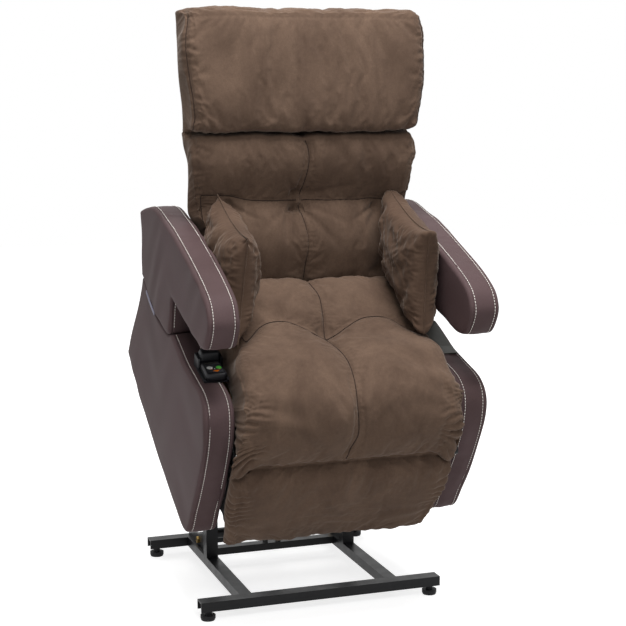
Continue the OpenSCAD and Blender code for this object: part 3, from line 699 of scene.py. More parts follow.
MATERIALS = {
    "microfibre": suede_material("microfibre", "4b3b31", "5d4b3f", "6d594b", "756051"),
    # The pillows' copy of the microfibre has darker tones than the rest: painted shade, for the shade that falls on
    # the pillows.
    "pillow_microfibre_painted_shade": suede_material("pillow_microfibre_painted_shade", "403127", "503e33", "5e4b3e", "665345"),
    "leatherette": leatherette_material(),
    "painted_steel": painted_steel_material(),
    "zinc_steel": zinc_material(),
    "brass_bolt": brass_material(),
    "plywood": plywood_material(),
    "thread": thread_material(),
}
for name, *look in (
        ("bush_plastic", "cfcabf", "dcd8cd"),
        ("black_plastic", "0f0f12", "17171b"),
        ("glide_plastic", "101012", "19191b", (0.55, 0.7), 400.0),
        ("lid_plastic", "33322c", "3e3c35", (0.5, 0.6)),
        ("keypad_rubber", "1c1d20", "26272b", (0.55, 0.7)),
        ("button_white", "e9ebe8", "f6f7f5", (0.35, 0.45)),
        ("button_green", "3f9d33", "5bbf48", (0.35, 0.45)),
        # The seam cords' dark brown, darker than the fabric, is painted shade: the shade in the grooves of the seams.
        ("seam", "241a15", "32251e", (0.9, 0.98), 900.0),
        ("black_cloth", "0e0d0d", "181616", (0.9, 0.98), 800.0),
        ("grey_tape", "6c6978", "7f7c8d", (0.5, 0.65), 900.0),
        ("amber_lens", "c9580f", "e8821f", (0.2, 0.3), 300.0)):
    MATERIALS[name] = plastic_material(name, *look)


def finish_with(o, name):
    """Gives a piece its material."""
    o.data.materials.append(MATERIALS[name])


# The carried-over CAD nodes
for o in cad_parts.values():
    for slot in o.material_slots:
        if slot.material:
            slot.material = next((m for key, m in MATERIALS.items() if key in slot.material.name), slot.material)


# ---------- Seat ----------

SEAT_HW, SEAT_TOP = 266.0, 480.0


def split(outline, steps, first, last):
    """The closed outline cut into a face path and a back path, from corner first to corner last."""
    c = smooth(outline, steps)
    a, b = first * steps, last * steps
    face = c[a:b + 1] if a < b else np.vstack([c[a:], c[:b + 1]])
    back = c[b:a + 1] if b < a else np.vstack([c[b:], c[:a + 1]])
    return face, back[::-1]


# Outline in y and z
SEAT = [
    (-84, 257), (-54, 262), (-36, 292), (-24, 328), (0, 333.5), (140, 333.5), (262, 333.5), (290, 340), (322, 396),
    (364, 474), (362, 492), (336, 500), (280, 503), (225, 490), (161, 478), (110, 478), (50, 481), (0, 472),
    (-50, 456), (-88, 425), (-110, 385), (-117, 340), (-108, 290),
]
face, back = split(SEAT, 6, 9, 0)


def seat_hw(p):
    wide = ease((p[:, 1] - 268) / 40) * ease((p[:, 1] - p[:, 0] - 250) / 60)
    return SEAT_HW + 13 * wide + (8 + 10 * bell(p[:, 1] - 300, 50)) * ease((-62 - p[:, 0]) / 22)


seat = Cushion("seat_pad", face, back, seat_hw, across=131, along=160, round_r=46, edge=0.42, bulge=5,
               rows=((place_on(face, (180, 482)), 0.07, 1.4), (0.93, 0.08, 0.6)))
X, Y, Z = seat.p.T
aside = np.abs(X)
# w falls from the rear of the seat, over its top and down its front
w = Y - (SEAT_TOP - Z)
soft = ease((Z - 345) / 60)
front = ease((40 - Y) / 80) * ease((Z - 262) / 25)
on_face = seat.face * np.maximum(soft, front)
rear_of = curve_through(aside, [(0, 152), (30, 159), (60, 173), (100, 193), (140, 194), (170, 182), (205, 150),
                                (266, 92)])
behind = ease((Y - rear_of + 3) / 16) * soft
lobe = 1 - ease(1 - aside / 78)
seam_line = bell(X, 4.5) * on_face
cross_line = bell(Y - rear_of, 6) * soft * ease((258 - aside) / 60)
junction = bell(np.hypot(X, Y - 158), 46) * soft
seat.push(-13 * on_face * np.abs(X / SEAT_HW) ** 2.4)
seat.push(-(4.5 * seam_line + 5 * bell(X, 17) * on_face + 4.5 * cross_line + 6 * bell(Y - rear_of, 22) * soft
            + 15 * junction)
          - 9 * behind * ease((300 - Y) / 110) * on_face
          - (1 - lobe) * on_face * (9 * ease((rear_of + 10 - Y) / 60) + 4)
          + 5 * on_face * bell(aside - 135, 95) * bell(Y - 90, 95))
pinned = np.maximum.reduce([bell(X, 9) * on_face, cross_line, 1 - seat.face, bell(aside - SEAT_HW, 20)])
puff(seat, pinned, limit=4.5)
edge_in = ease((aside - 176) / 84)
side_folds = gathers(w + 0.25 * aside, own_side(X), 40, 3, 2.4)
lip = bell(Z - 268, 26) * ease((-40 - Y) / 30)
folds = (6.4 * side_folds * edge_in ** 1.6 * ease((-60 - w) / 70)
         + 2.0 * crinkle(w, X, 120, 5, 1.6) * on_face
         + 1.1 * crinkle(X, w, 60, 8, 2.0) * on_face * ease((-90 - w) / 80)
         + 2.6 * gathers(X, w, 62, 12, 3.0) * lip
         + 1.0 * gathers(X + 0.3 * Y, Y, 44, 15, 2.5) * soft * ease((Y - 300) / 40))
seat.push(folds * np.maximum(on_face, 0.6 * lip) * (1 - seam_line))
scallop = 4.0 * side_folds * edge_in ** 3 * ease((-40 - w) / 60) * front
mid_x = curve_through(w, [(-310, 10), (-250, 8), (-170, 3), (-90, 4), (10, 8), (90, 0), (143, -8), (227, 2),
                          (290, 6), (358, 0)])
bow = mid_x * (1 - (X / SEAT_HW) ** 2) ** 2 * on_face
low_corner = ease((aside - 225) / 50) * ease((-30 - Y) / 30)
seat.shift(bow + np.sign(X) * scallop - 11 * ease((345 - Z) / 70) * ease((-40 - Y) / 30),
           -6 * low_corner * ease((330 - Z) / 50), -24 * low_corner * ease((320 - Z) / 50))
seam("seat_centre_seam", seat, seat.middle & (seat.t < 0.985) & (seat.t > 0.05), seat.t, "carriage", 0.0008)
top = seat.face & (Z > 440) & (aside < 232)
seam("seat_cross_seam", seat, nearest_in_columns(seat.column, np.abs(Y - rear_of), top), X, "carriage", 0.0012)
subdivide(seat.o)
finish_with(seat.o, "microfibre")
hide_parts("seat_cushion")
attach(seat.o, "carriage")

# ---------- Leg rest ----------

# Outline in y and z
LEG = [
    (-84, 255), (-98, 238), (-106, 205), (-102, 150), (-90, 90), (-70, 30), (-52, -6), (-38, -13),
    (-18, -5), (-26, 40), (-38, 110), (-50, 180), (-57, 232), (-67, 250),
]
face, back = split(LEG, 8, 0, 7)
leg = Cushion("legrest_pad", face, back, lambda p: 282 - 18 * ease((140 - p[:, 1]) / 150), across=96, along=84,
              round_r=24, edge=0.35, bulge=4, columns=((0, 0.05, 1.2), (1, 0.05, 1.2)))
X, _, Z = leg.p.T
aside = np.abs(X)
front = leg.face.astype(float)
puff(leg, np.maximum(1 - leg.face, bell(aside - 270, 16)), limit=3.0)
leg.push(-6 * front * (aside / 272) ** 3 - 13 * front * ease((Z - 208) / 40)
         + 3.6 * gathers(X + 0.15 * Z, Z, 46, 21, 4.0) * front * ease((Z - 96) / 130)
         + 2.2 * crinkle(X, Z, 150, 22, 1.2) * front
         + 1.0 * crinkle(Z, X, 48, 23, 2.4) * front * bell(Z - 60, 60)
         + 3.4 * gathers(Z, own_side(X), 48, 24, 2.2) * front * ease((aside - 205) / 55) ** 1.5
         + 1.6 * gathers(X, Z, 40, 25, 2.0) * front * bell(Z + 4, 12)
         - 1.8 * bell(aside - 262, 3.5) * front)
leg.shift(-5)
subdivide(leg.o)
finish_with(leg.o, "microfibre")
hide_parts("legrest_cushion")
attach(leg.o, "legrest")

# Linings of black cloth between the seat's sides and the panels, hung from the seat frame
LINING_X = (257, 259.4)
for side, word in SIDES:
    up, along = np.meshgrid(np.linspace(0, 1, 60), np.linspace(0, 1, 16), indexing="ij")
    drape = 1.6 * np.sin(along * 9 + 3 * up) * (1 - up)
    faces = [np.stack([side * (x + drape), -9 + 80 * along + 3 * np.sin(7 * up), 22 + 296 * up], -1)
             for x in LINING_X]
    lining = slab("seat_lining_" + word, *faces)
    finish_with(lining, "black_cloth")
    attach(lining, "carriage")

# ---------- Backrest ----------

# Outline in s and t
BACK = [
    (-30, 10), (-36, -12), (-20, -40), (10, -58), (42, -68), (90, -84), (140, -86), (192, -72),
    (222, -62), (250, -69), (288, -86), (330, -96), (368, -93), (386, -72), (388.5, -25), (384, 10),
    (240, 11), (110, 11),
]
face, back = split(back_yz(BACK), 6, 0, 15)


def back_hw(p):
    s, _ = back_st(p)
    return 268 + 25 * ease((s - 130) / 60) + 7 * ease((s - 290) / 60)


tuft_at = place_on(face, back_yz((220, -62)))
backrest = Cushion("backrest_pad", face, back, back_hw, across=141, along=150, round_r=34, edge=0.4, bulge=4,
                   rows=((tuft_at, 0.045, 3.0), (tuft_at, 0.12, 0.8)))
X, aside = backrest.x, np.abs(backrest.x)
s, t = back_st(backrest.p[:, 1:])
soft = ease((-20 - t) / 20) * backrest.face
backrest.push(-17 * ease((aside - 150) / 56) * ease(s / 40) * ease((232 - s) / 30) * soft)
# The tuft's place in x and s, with sewn channels across and up and down through it
TUFT = (-7.0, 220.0)
r = np.hypot(X - TUFT[0], (s - TUFT[1]) * 1.1)
channel_s = curve_through(X, [(-300, 232), (-201, 228), (-144, 222), (-81, 219), (0, 220), (90, 217), (162, 218),
                              (222, 214), (300, 212)])
channel = bell(s - channel_s, 5) * soft * (0.62 + 0.38 * ease((40 - X) / 80))
centre = bell(X, 4) * soft * ease((380 - s) / 14)
away = 1 - bell(r, 15)
backrest.push(-(5 * channel * away + 5 * centre * away + 6 * bell(s - channel_s, 26) * soft * away
                + 5 * bell(r, 16) * soft + 7 * bell(r, 36) * soft + 5 * bell(r, 80) * soft
                + (5 * bell(X, 18) + 4 * bell(X, 60)) * soft * (1 - 0.7 * bell(s - TUFT[1], 40))
                + 4 * (aside / 300) ** 3 * soft)
              + 4 * bell(s - 300, 46) * bell(aside - 150, 110) * soft)
hold = np.maximum.reduce([channel, bell(X, 9) * soft, 1 - backrest.face, bell(r, 16), bell(s - 381, 16),
                          ease((-10 - s) / 20)])
puff(backrest, hold, limit=4.0)
# Pulls in the cloth, most of them from the tuft: points in x and s, width and depth
RAYS = [
    ([TUFT, (-30, 240), (-46, 264), (-52, 290)], 7, 6.0), ([TUFT, (-14, 250), (-8, 292)], 6, 3.5),
    ([TUFT, (-40, 228), (-84, 246)], 9, 3.0), ([TUFT, (40, 232), (105, 248), (168, 270)], 9, 3.2),
    ([TUFT, (20, 244), (44, 282)], 8, 2.4), ([TUFT, (-36, 192), (-52, 164), (-60, 140)], 6, 6.0),
    ([TUFT, (-66, 182), (-128, 140)], 9, 3.6), ([TUFT, (-24, 176), (-34, 118)], 7, 4.0),
    ([TUFT, (28, 164), (60, 124), (90, 84)], 9, 3.6), ([TUFT, (50, 190), (116, 158)], 9, 3.0),
    ([TUFT, (8, 186), (24, 140)], 6, 2.6), ([TUFT, (-70, 206), (-140, 190)], 10, 2.4),
    ([(-196, 214), (-150, 190), (-112, 168)], 6, 4.5), ([(196, 206), (160, 184), (120, 160)], 6, 4.5),
    ([(196, 190), (168, 160), (140, 120)], 8, 2.5),
]
rays = 1.9 * sum(depth * crease(X, s, points, width, 0.8) for points, width, depth in RAYS) * ease((r - 5) / 14)
lumps = (1.8 * crinkle(X, s, 130, 31, 1.2) + 1.0 * gathers(X, s, 52, 32, 3.0) * bell(s - 372, 30)
         + 2.4 * gathers(s, own_side(X), 30, 33, 2.5) * ease((aside - 246) / 45))
backrest.push(soft * (lumps - rays) * (1 - 0.7 * channel) - 2.0 * bell(aside - back_hw(backrest.p[:, 1:]) + 9, 3.5)
              * backrest.face * ease((s - 150) / 50))
bow = curve_through(s, [(-60, 0), (42, 0), (91, 4), (139, 1), (193, -8), (219, -6), (245, -3), (306, 4), (353, 0),
                        (390, -12)])
backrest.shift(bow * (1 - (X / 302) ** 2) ** 2 * soft)
seam("back_upper_seam", backrest, backrest.middle & (s > 226) & (s < 378), s, "backrest")
seam("back_lower_seam", backrest, backrest.middle & (s > 12) & (s < 213), s, "backrest")
channel_pieces = []
for word, keep in (("left", (X < -12) & (X > -278)), ("right", (X > 2) & (X < 278))):
    near = nearest_in_columns(backrest.column, np.abs(s - channel_s), backrest.face & keep)
    channel_pieces.append(seam("back_channel_seam_" + word, backrest, near, X, "backrest"))
subdivide(backrest.o)
finish_with(backrest.o, "microfibre")
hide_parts("lumbar_cushion", "back_cushion")
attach(backrest.o, "backrest")
for o in [backrest.o] + channel_pieces:
    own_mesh(o)

# Headrest: outline in s and t
HEAD = [
    (394, 8), (391, -40), (391, -84), (402, -107), (440, -116), (508, -114), (590, -106), (652, -94),
    (683, -76), (692, -50), (690, -14), (678, 5), (630, 10), (510, 10),
]
face, back = split(back_yz(HEAD), 8, 0, 11)


def head_hw(p):
    s, _ = back_st(p)
    return 298 + 18 * ease((s - 380) / 190) - 3 * ease((s - 620) / 70)


head = Cushion("headrest_pad", face, back, head_hw, across=120, along=110, round_r=34, edge=0.42, bulge=4,
               rows=((0.2, 0.08, 0.8), (0.84, 0.05, 1.2)), columns=((0, 0.045, 2.2), (1, 0.045, 2.2)))
X, aside = head.x, np.abs(head.x)
s, t = back_st(head.p[:, 1:])
inset = head_hw(head.p[:, 1:]) - aside
soft = ease((-10 - t) / 30) * head.face
edge_seam = bell(inset - 8, 3) * soft
top_seam = bell(s - 670, 3) * soft * ease((-60 - t) / 20)
puff(head, np.maximum.reduce([1.0 - head.face, bell(inset - 8, 8), bell(s - 393, 8), bell(s - 670, 8)]), limit=3.5)
by_edge = bell(inset - 16, 20) * soft
bottom = bell(s - 404, 16) * ease((-40 - t) / 30)
head.push(-2.6 * edge_seam - 1.4 * top_seam
          + 2.2 * gathers(s, aside + 400 * (X > 0), 26, 41, 2.0) * by_edge
          + 1.6 * gathers(X, s, 34, 42, 2.0) * bell(s - 672, 20) * soft
          + 3.2 * crinkle(X, s, 250, 43, 0.9) * soft
          + 3.4 * gathers(X, s, 88, 45, 1.6) * bottom + 1.2 * gathers(X, s, 30, 46, 1.6) * bottom
          - 5.0 * crease(X, s, [(-306, 668), (-262, 622), (-214, 566), (-190, 500)], 34, 0.5) * soft
          - 3.5 * crease(X, s, [(306, 668), (250, 640), (180, 606)], 30, 0.5) * soft)
head.shift(0, -2.2 * gathers(X, s, 92, 45, 1.6) * bottom, 3.6 * crinkle(X, 0 * X, 120, 47) * bottom)
for word, column in (("left", 3), ("right", 116)):
    near_edge = (head.column == column) & head.face & (s > 399) & (s < 676) & (t < -40)
    seam("head_edge_seam_" + word, head, near_edge, s, "backrest")
subdivide(head.o)
finish_with(head.o, "microfibre")
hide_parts("headrest_pillow")
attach(head.o, "backrest")

# Rear cover: an upholstered skin drawn round the edges of the back board
COVER = [(84, 29.6), (156, 29.6), (162, 28), (164, 10), (174, 5), (300, 5), (560, 5), (655, 5), (674, 6),
         (683, 12), (684.5, 19), (683, 27), (672, 38), (640, 46), (540, 48),
         (380, 49.5), (220, 48.5), (110, 46), (88, 44), (82, 38)]
face, back = split(back_yz(COVER), 6, 0, 8)
cover = Cushion("back_cover_skin", face, back, lambda p: 269 + 6.5 * ease((back_st(p)[0] - 150) / 20), across=90,
                along=90, round_r=8, edge=0.5, bulge=2, rows=((0, 0.05, 1), (1, 0.05, 1)))
X, aside = cover.x, np.abs(cover.x)
s, t = back_st(cover.p[:, 1:])
rear = (1.0 - cover.face) * ease((t - 38) / 6)
cover.push(1.2 * crinkle(X, s, 190, 51, 1.4) * rear + 0.8 * gathers(s, aside, 30, 52, 2.0) * rear
           * ease((aside - 225) / 45) - 1.6 * bell(s - 182, 3.5) * rear - 1.2 * bell(aside - 262, 3) * rear)
subdivide(cover.o)
finish_with(cover.o, "microfibre")
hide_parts("back_cover")
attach(cover.o, "backrest")

# ---------- Side cushions ----------

PILLOW_ALONG, PILLOW_UP = 290, 215
# Tucks that run in from the corners: points along and up the cushion, width and depth
TUCKS = [
    ([(2, 213), (40, 196), (84, 186)], 7, 4.0), ([(2, 213), (26, 176), (38, 132)], 7, 4.5),
    ([(2, 213), (12, 160), (10, 110)], 6, 3.0), ([(2, 213), (60, 208), (120, 205)], 7, 3.0),
    ([(2, 2), (34, 34), (60, 74)], 8, 4.0), ([(2, 2), (54, 16), (110, 26)], 8, 3.2),
    ([(288, 213), (246, 190), (206, 176)], 8, 4.0), ([(288, 213), (268, 160), (262, 110)], 8, 3.4),
    ([(288, 213), (230, 208), (180, 208)], 7, 2.6), ([(70, 150), (108, 128), (150, 120)], 12, 2.4),
]


def near_corners(a, b, width):
    return sum(bell(np.hypot(a - p, b - q), width) for p in (0, PILLOW_ALONG) for q in (0, PILLOW_UP))


for side, word in SIDES:
    pillow = Pillow(
        "side_pillow_" + word,
        [(98, 478), (170, 490), (290, 502), (380, 511)],
        [(380, 511), (388, 560), (412, 614), (462, 682)],
        [(188, 716), (262, 694), (350, 682), (462, 682)],
        [(98, 478), (132, 545), (162, 618), (188, 716)],
        side * 229, 108, 72, 60)
    u, v = pillow.u, pillow.v
    a, b = u * PILLOW_ALONG, v * PILLOW_UP
    to_end, to_side = np.minimum(u, 1 - u) * PILLOW_ALONG, np.minimum(v, 1 - v) * PILLOW_UP
    rim = np.minimum(to_end, to_side)
    pillow.shift((-22 if side < 0 else -6) * (1 - v) ** 1.5 * (1 - u) ** 1.5)
    puff(pillow, bell(rim, 8), limit=4.0)
    outer = 500 * (pillow.x > 0)
    along = np.where(to_side < to_end, a, b + 700)
    pleats = gathers(along, rim + outer, 21, 61 + side, 3.0) * ease((rim - 2) / 8) * ease((64 - rim) / 56)
    patchy = 0.35 + 0.65 * ease(0.5 + 0.6 * crinkle(a, b + outer, 120, 69 + side))
    pillow.push(-sum(depth * crease(a, b, line, width, 0.7) for line, width, depth in TUCKS) * ease(rim / 7))
    pillow.push(pleats * (0.9 + 2.8 * np.clip(near_corners(a, b, 62), 0, 1)) * patchy
                + 4.0 * crinkle(a + b, a - b + outer, 105, 63 + side, 1.4) * ease(rim / 40)
                + 1.5 * gathers(b + 0.5 * a, a + outer, 40, 66 + side, 2.2) * ease((rim - 10) / 30) * patchy
                + 0.8 * crinkle(a - 0.6 * b, b + outer, 24, 72 + side, 2.0) * ease((rim - 6) / 20)
                - 3.0 * near_corners(a, b, 26) * (rim > 3))
    piping = tube("side_pillow_seam_" + word, co_of(pillow.o)[pillow.rim], 0.0018, 8, True)
    subdivide(pillow.o)
    # The pillow and its piping take the darker copy of the microfibre, whose darker tones are painted shade.
    finish_with(pillow.o, "pillow_microfibre_painted_shade")
    finish_with(piping, "pillow_microfibre_painted_shade")
    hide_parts("side_cushion_" + word)
    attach(pillow.o, "side_cushion_" + word)
    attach(piping, "side_cushion_" + word)

# ---------- Side panels and arms ----------

# Outlines in y and z. The arm lies a thread's breadth above the outline that it shares with the panel
PANEL = [
    (0, 3), (110, -8), (228, -14), (330, -9), (418, -1), (597, 14), (700, 33), (724, 44), (716, 73),
    (674, 200), (637, 315), (629, 346), (614, 349), (557, 341), (458, 335), (343, 358), (316, 372),
    (300, 377), (225, 378.8), (176, 380), (110, 390.3), (70, 396.7), (40, 401.5), (6, 403), (-27, 392),
    (-50, 360), (-61, 300), (-52, 200), (-28, 90),
]
ARM_GAP = 1.2
ARM = [
    (317.5, 384), (320, 373), (343, 358.4), (458, 335), (557, 341), (614, 349), (629, 350), (636, 362), (668, 437),
    (702, 492), (694, 512), (585, 580), (470, 607), (382, 622), (252, 635), (127, 642), (51, 638), (14, 618),
    (0, 590), (10, 538), (38, 517), (77, 506), (181, 490), (300, 474), (327, 468), (325, 430),
]
ARM = [(y, z + ARM_GAP) for y, z in ARM]
STITCH_IN = ROLL_R + 4.6
# Rows of thread: from the place nearest the first point of the outline to the one nearest the second
ARM_THREADS = (("arm_stitching", (694, 512), (100, 504), 0.9), ("arm_post_stitching", (326, 455), (318, 386), 0.8))
PANEL_THREADS = (("panel_stitching", (308, 375), (0, 3), 0.8),)
for side, word in SIDES:
    x0, x1 = sorted((side * PANEL_IN, side * PANEL_OUT))
    panel = Board("panel_upholstery_" + word, PANEL, x0, x1, ROLL_R, (320, 170), 1.8)
    panel.soften(71 + side, 1.2)
    finish_with(panel.o, "leatherette")
    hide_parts("side_panel_" + word)
    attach(panel.o, "carriage")
    x0, x1 = sorted((side * PANEL_IN, side * ARM_OUT))
    arm = Board("arm_upholstery_" + word, ARM, x0, x1, ROLL_R, (455, 500), 1.2)
    arm.soften(75 + side, 0.9)
    finish_with(arm.o, "leatherette")
    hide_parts("arm_" + word)
    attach(arm.o, "carriage")
    for board, outside, threads in ((arm, ARM_OUT, ARM_THREADS), (panel, PANEL_OUT, PANEL_THREADS)):
        for k, x in enumerate((PANEL_IN + STITCH_IN, outside - STITCH_IN)):
            for name, start, stop, out in threads:
                thread = stitches(f"{name}_{word}_{k}", board.path(start, stop, side * x, out))
                finish_with(thread, "thread")
                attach(thread, "carriage")

# A plain woven tab in the seam between the left arm and its panel
tab = ribbon("seam_tab", [(566, 342.4), (540, 340.2), (512, 338.0), (484, 337.0), (462, 336.6)],
             -ARM_OUT - 0.8, 11, 1.6)
finish_with(tab, "grey_tape")
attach(tab, "carriage")

# Rear skirt: a stretched panel between the side panels, hemmed at its lower edge
q = np.linspace(0, 1, 46)[:, None]
c = np.linspace(-1, 1, 90)[None]
skirt_x = c * (PANEL_IN - 2.4) * np.ones_like(q)
dip = (2.6 * np.sin(math.pi * q) * (1 - c ** 4)
       + 1.0 * crinkle(skirt_x, q * 250, 120, 81, 1.6) * np.sin(math.pi * q) * (1 - c ** 6))
faces = []
for depth in (2.6, -2.6):
    out = dip + depth * (1 - 0.4 * bell(q - 0.93, 0.012))
    faces.append(np.stack([skirt_x, 609 + 88 * q - out * 0.938, 330 - 239 * q - out * 0.345 + 0 * c], 2))
skirt = slab("rear_skirt_panel", *faces)
finish_with(skirt, "leatherette")
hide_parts("rear_skirt")
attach(skirt, "carriage")

# Storage pocket on the outside of the right panel: a sheet sewn down on three sides, bowed out at its mouth
POUCH_GRID = (84, 60)
u = np.linspace(0, 1, POUCH_GRID[0])[:, None]
v = np.linspace(0, 1, POUCH_GRID[1])[None]
low = (1 - u) * np.array([24.0, 61]) + u * np.array([330.0, 42])
high = (1 - u) * np.array([21.0, 336]) + u * np.array([424.0, 314])
high[:, 1] -= 16 * np.sin(math.pi * u[:, 0]) ** 1.5
sheet = low[:, None] * (1 - v[..., None]) + high[:, None] * v[..., None]
bow = 11.5 * np.clip(np.sin(math.pi * u), 0, 1) ** 0.55 * ease(v / 0.35) * (0.45 + 0.55 * v)
bow = bow + 1.1 * crinkle(sheet[..., 0], sheet[..., 1], 110, 91, 1.5) * np.sin(math.pi * u) * ease(v / 0.2)
verts = np.concatenate([PANEL_OUT + 2.6 + bow[..., None], sheet], 2)
pouch = mesh_object("storage_pouch", row(verts), [(a, d, c, b) for a, b, c, d in grid(*POUCH_GRID, False)])
m = pouch.modifiers.new("Skin", "SOLIDIFY")
m.thickness = 0.0018
m.offset = 0
finish_with(pouch, "leatherette")
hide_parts("storage_pocket")
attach(pouch, "carriage")
binding = tube("storage_pouch_binding", row(verts[:, -1]), 0.0022, 8)
finish_with(binding, "leatherette")
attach(binding, "carriage")
inner = verts[3:-3, 3:]
hem = np.vstack([inner[0, ::-1], inner[1:, 0], inner[-1, 1:]]) + np.array([1.2, 0, 0])
thread = stitches("storage_pouch_stitching", row(hem))
finish_with(thread, "thread")
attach(thread, "carriage")

# ---------- Handset ----------

HANDSET_AT = (-301.0, 66.0, 398.0)
HANDSET_TURN = math.radians(-8.9)


def on_panel_top(p):
    """Row points from places on the handset's holder: x across, y up its length and z out of its face."""
    p = np.asarray(p, float).reshape(-1, 3)
    c, s = math.cos(HANDSET_TURN), math.sin(HANDSET_TURN)
    y, z = c * p[:, 1] - s * p[:, 2], s * p[:, 1] + c * p[:, 2]
    return row(np.stack([p[:, 0], y, z], 1) + np.array(HANDSET_AT))


def rounded_ring(width, length, r, z, y0=0.0, n=8, x0=0.0):
    """A ring of a rounded rectangle, centred on x0, from y0 up."""
    out = []
    for cx, cy, first in ((width / 2 - r, length - r, 0), (r - width / 2, length - r, 90),
                          (r - width / 2, r, 180), (width / 2 - r, r, 270)):
        for k in range(n + 1):
            q = math.radians(first + 90 * k / n)
            out.append((x0 + cx + r * math.cos(q), y0 + cy + r * math.sin(q), z))
    return np.array(out)


def through_rings(name, rings):
    """A body on the handset's holder through rings of as many points, from its underside to its top."""
    n = len(rings[0])
    verts = np.vstack(rings)
    ends = [tuple(range(n - 1, -1, -1)), tuple(range(len(verts) - n, len(verts)))]
    return closed_mesh(name, on_panel_top(verts), grid(len(rings), n) + ends)


HANDSET_WIDE, HANDSET_LONG = 47.6, 99.6
# Each ring's height and inset, then the rim of the recess for the keypad
profile = [(3.4, 5.0), (4.2, 2.2), (6.3, 0.5), (8.0, 0.0), (15.0, 0.2), (18.6, 0.9), (20.8, 2.2), (22.0, 3.9)]
rings = [rounded_ring(HANDSET_WIDE - 2 * inset, HANDSET_LONG - 2 * inset, 10 - 0.8 * inset, z, inset)
         for z, inset in profile]
rings += [rounded_ring(38.6, 42.6, 5.2, 22.1, 9.7), rounded_ring(38.2, 42.2, 5, 21.0, 9.9),
          rounded_ring(38.2, 42.2, 5, 14.2, 9.9)]
# The part with the keys is wider than the upper end, and narrows a little to its lower end
for ring in rings[:len(profile)]:
    ring[:, 0] *= 1 + (0.22 * ease((66 - ring[:, 1]) / 10) - 0.13 * ease((34 - ring[:, 1]) / 34)) * (ring[:, 2] > 6.5)
shell = through_rings("handset_shell", rings)
finish_with(shell, "black_plastic")
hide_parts("handset_body")
# A ridge across the holder in the lighter lid plastic: a real ridge, whose lighter colour is a painted highlight
# along its bevel.
arch = np.linspace(-20.5, 20.5, 40)
ridge = tube("handset_ridge_highlight", on_panel_top(np.column_stack([arch, 60.5 - 3.5 * (arch / 20.5) ** 2,
                                                            22.4 - 1.2 * np.abs(arch / 20.5) ** 4])), 0.0011, 8)
finish_with(ridge, "lid_plastic")
LOZENGE = [(1, 0), (0.72, 0.34), (0.3, 0.8), (0, 1), (-0.3, 0.8), (-0.72, 0.34), (-1, 0), (-0.72, -0.34),
           (-0.3, -0.8), (0, -1), (0.3, -0.8), (0.72, -0.34)]
lens = through_rings("handset_lens", [
    [(w * x + 1.5, d * y + 17.5, z) for x, y in LOZENGE]
    for w, d, z in ((7.6, 4.8, 22.8), (7.6, 4.8, 23.3), (6.6, 4.0, 23.8), (3.5, 2.0, 24.1))])
finish_with(lens, "amber_lens")
details = [shell, ridge, lens]
for k, (x, y) in enumerate(((-8.5, 25.0), (10.5, 24.0))):
    bar = through_rings(f"handset_mark_{k}", [rounded_ring(6.4, 1.9, 0.9, z, y, 4, x) for z in (22.8, 23.15)])
    finish_with(bar, "amber_lens")
    details.append(bar)
lamp = through_rings("handset_lamp", [rounded_ring(w, w, w / 2 - 0.05, z, 28.2 - w / 2, 5)
                                      for w, z in ((2.6, 22.8), (2.4, 23.3), (1.4, 23.6))])
finish_with(lamp, "button_white")
cap = through_rings("handset_cap", [rounded_ring(w, l, r, z, y) for z, w, l, r, y in (
    (20.5, 46.6, 29.6, 5, 69.5), (26, 47.4, 30, 5, 69.3), (37, 47.2, 29.4, 5.5, 69.8), (42, 45.4, 27, 6, 71.2),
    (44.2, 42, 23, 6, 73.2), (45, 36, 17, 6, 76.2))])
finish_with(cap, "black_plastic")
details += [lamp, cap]
for o in details:
    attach(o, "handset")

# ---------- Camera, floor and light ----------

# The camera's place and turn, and its lens in pixels of a picture this wide
AZ, DOWN, ROLL = -0.32824, 0.14699, -0.0038
CAMERA_AT = (-1.2289, -3.7206, 1.3119)
LENS, PICTURE = 1533.6, 626
cam_data = bpy.data.cameras.new("Camera")
cam = bpy.data.objects.new("Camera", cam_data)
scene.collection.objects.link(cam)
cam_data.sensor_width = 36
cam_data.lens = 36 * LENS / PICTURE
cam_data.clip_start = 0.05
cam_data.clip_end = 60
side = np.array([math.cos(AZ), math.sin(AZ), 0])
ahead = np.array([-math.sin(AZ) * math.cos(DOWN), math.cos(AZ) * math.cos(DOWN), -math.sin(DOWN)])
up = np.cross(side, ahead)
side, up = side * math.cos(ROLL) + up * math.sin(ROLL), up * math.cos(ROLL) - side * math.sin(ROLL)
basis = np.stack([side, up, -ahead], 1)
cam.matrix_world = Matrix([(*turn, at) for turn, at in zip(basis, CAMERA_AT)] + [(0, 0, 0, 1)])
scene.camera = cam


def background_rays(tree):
    """1 for the rays that show the white background: the camera's, and those in gloss and glass."""
    rays = tree.nodes.new("ShaderNodeLightPath").outputs
    at = rays["Is Camera Ray"]
    for word in ("Is Glossy Ray", "Is Transmission Ray"):
        at = add_node(tree, "ShaderNodeMath", {0: at, 1: rays[word]}, operation="MAXIMUM").outputs[0]
    return at


floor = mesh_object("floor", [(-9, -9, 0), (9, -9, 0), (9, 9, 0), (-9, 9, 0)], [(0, 1, 2, 3)])
pale = bpy.data.materials.new("pale_floor")
pale.use_nodes = True
tree = pale.node_tree
tree.nodes.clear()
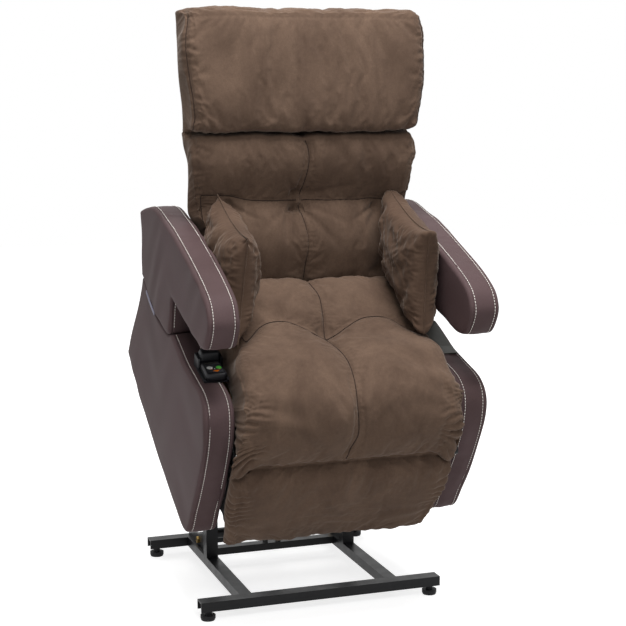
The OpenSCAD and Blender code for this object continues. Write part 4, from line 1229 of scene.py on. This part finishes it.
# The floor glows nearly white, and a little less close to the chair, where its shadow lies
place = tree.nodes.new("ShaderNodeTexCoord").outputs["Object"]
far = add_node(tree, "ShaderNodeVectorMath", {0: place}, operation="LENGTH").outputs["Value"]
glow = add_node(tree, "ShaderNodeMapRange", {
    "Value": far, "From Min": 0.7, "From Max": 2.4, "To Min": 0.78, "To Max": 1.0}).outputs[0]
seen = add_node(tree, "ShaderNodeMath", {0: background_rays(tree), 1: glow}, operation="MULTIPLY").outputs[0]
lit = add_node(tree, "ShaderNodeBsdfDiffuse", {"Color": (0.6, 0.6, 0.6, 1)}).outputs[0]
glowing = add_node(tree, "ShaderNodeEmission", {"Strength": seen}).outputs[0]
both = add_node(tree, "ShaderNodeAddShader", {0: lit, 1: glowing}).outputs[0]
add_node(tree, "ShaderNodeOutputMaterial", {"Surface": both})
floor.data.materials.append(pale)

world = bpy.data.worlds.new("Studio")
scene.world = world
world.use_nodes = True
tree = world.node_tree
tree.nodes.clear()
soft_light, white = (add_node(tree, "ShaderNodeBackground", {"Color": (1, 1, 1, 1), "Strength": strength}).outputs[0]
                     for strength in (0.18, 1.0))
shown = add_node(tree, "ShaderNodeMixShader", {0: background_rays(tree), 1: soft_light, 2: white}).outputs[0]
add_node(tree, "ShaderNodeOutputWorld", {"Surface": shown})

# Soft lamps: place, target, size and power, in metres and watts
for name, at, target, size, power in (
        ("key_light", (-0.9, -3.5, 3.4), (0, 0, 0.9), (2.0, 1.6), 66),
        ("left_light", (-4.0, -1.2, 2.2), (0, 0, 0.7), (2.2, 2.2), 12),
        ("right_light", (3.6, -1.6, 1.8), (0, 0, 0.7), (2.0, 2.0), 13),
        ("top_light", (0.0, -1.0, 4.4), (0, 0, 0.6), (2.2, 1.8), 205),
        ("rear_light", (0.9, 2.6, 3.4), (0.1, 0, 0.9), (2.4, 1.4), 28)):
    lamp = bpy.data.lights.new(name, "AREA")
    lamp.shape = "RECTANGLE"
    lamp.size, lamp.size_y = size
    lamp.energy = power
    o = bpy.data.objects.new(name, lamp)
    scene.collection.objects.link(o)
    o.location = at
    o.rotation_euler = (Vector(target) - Vector(at)).to_track_quat("-Z", "Y").to_euler()

scene.view_settings.view_transform = "Standard"
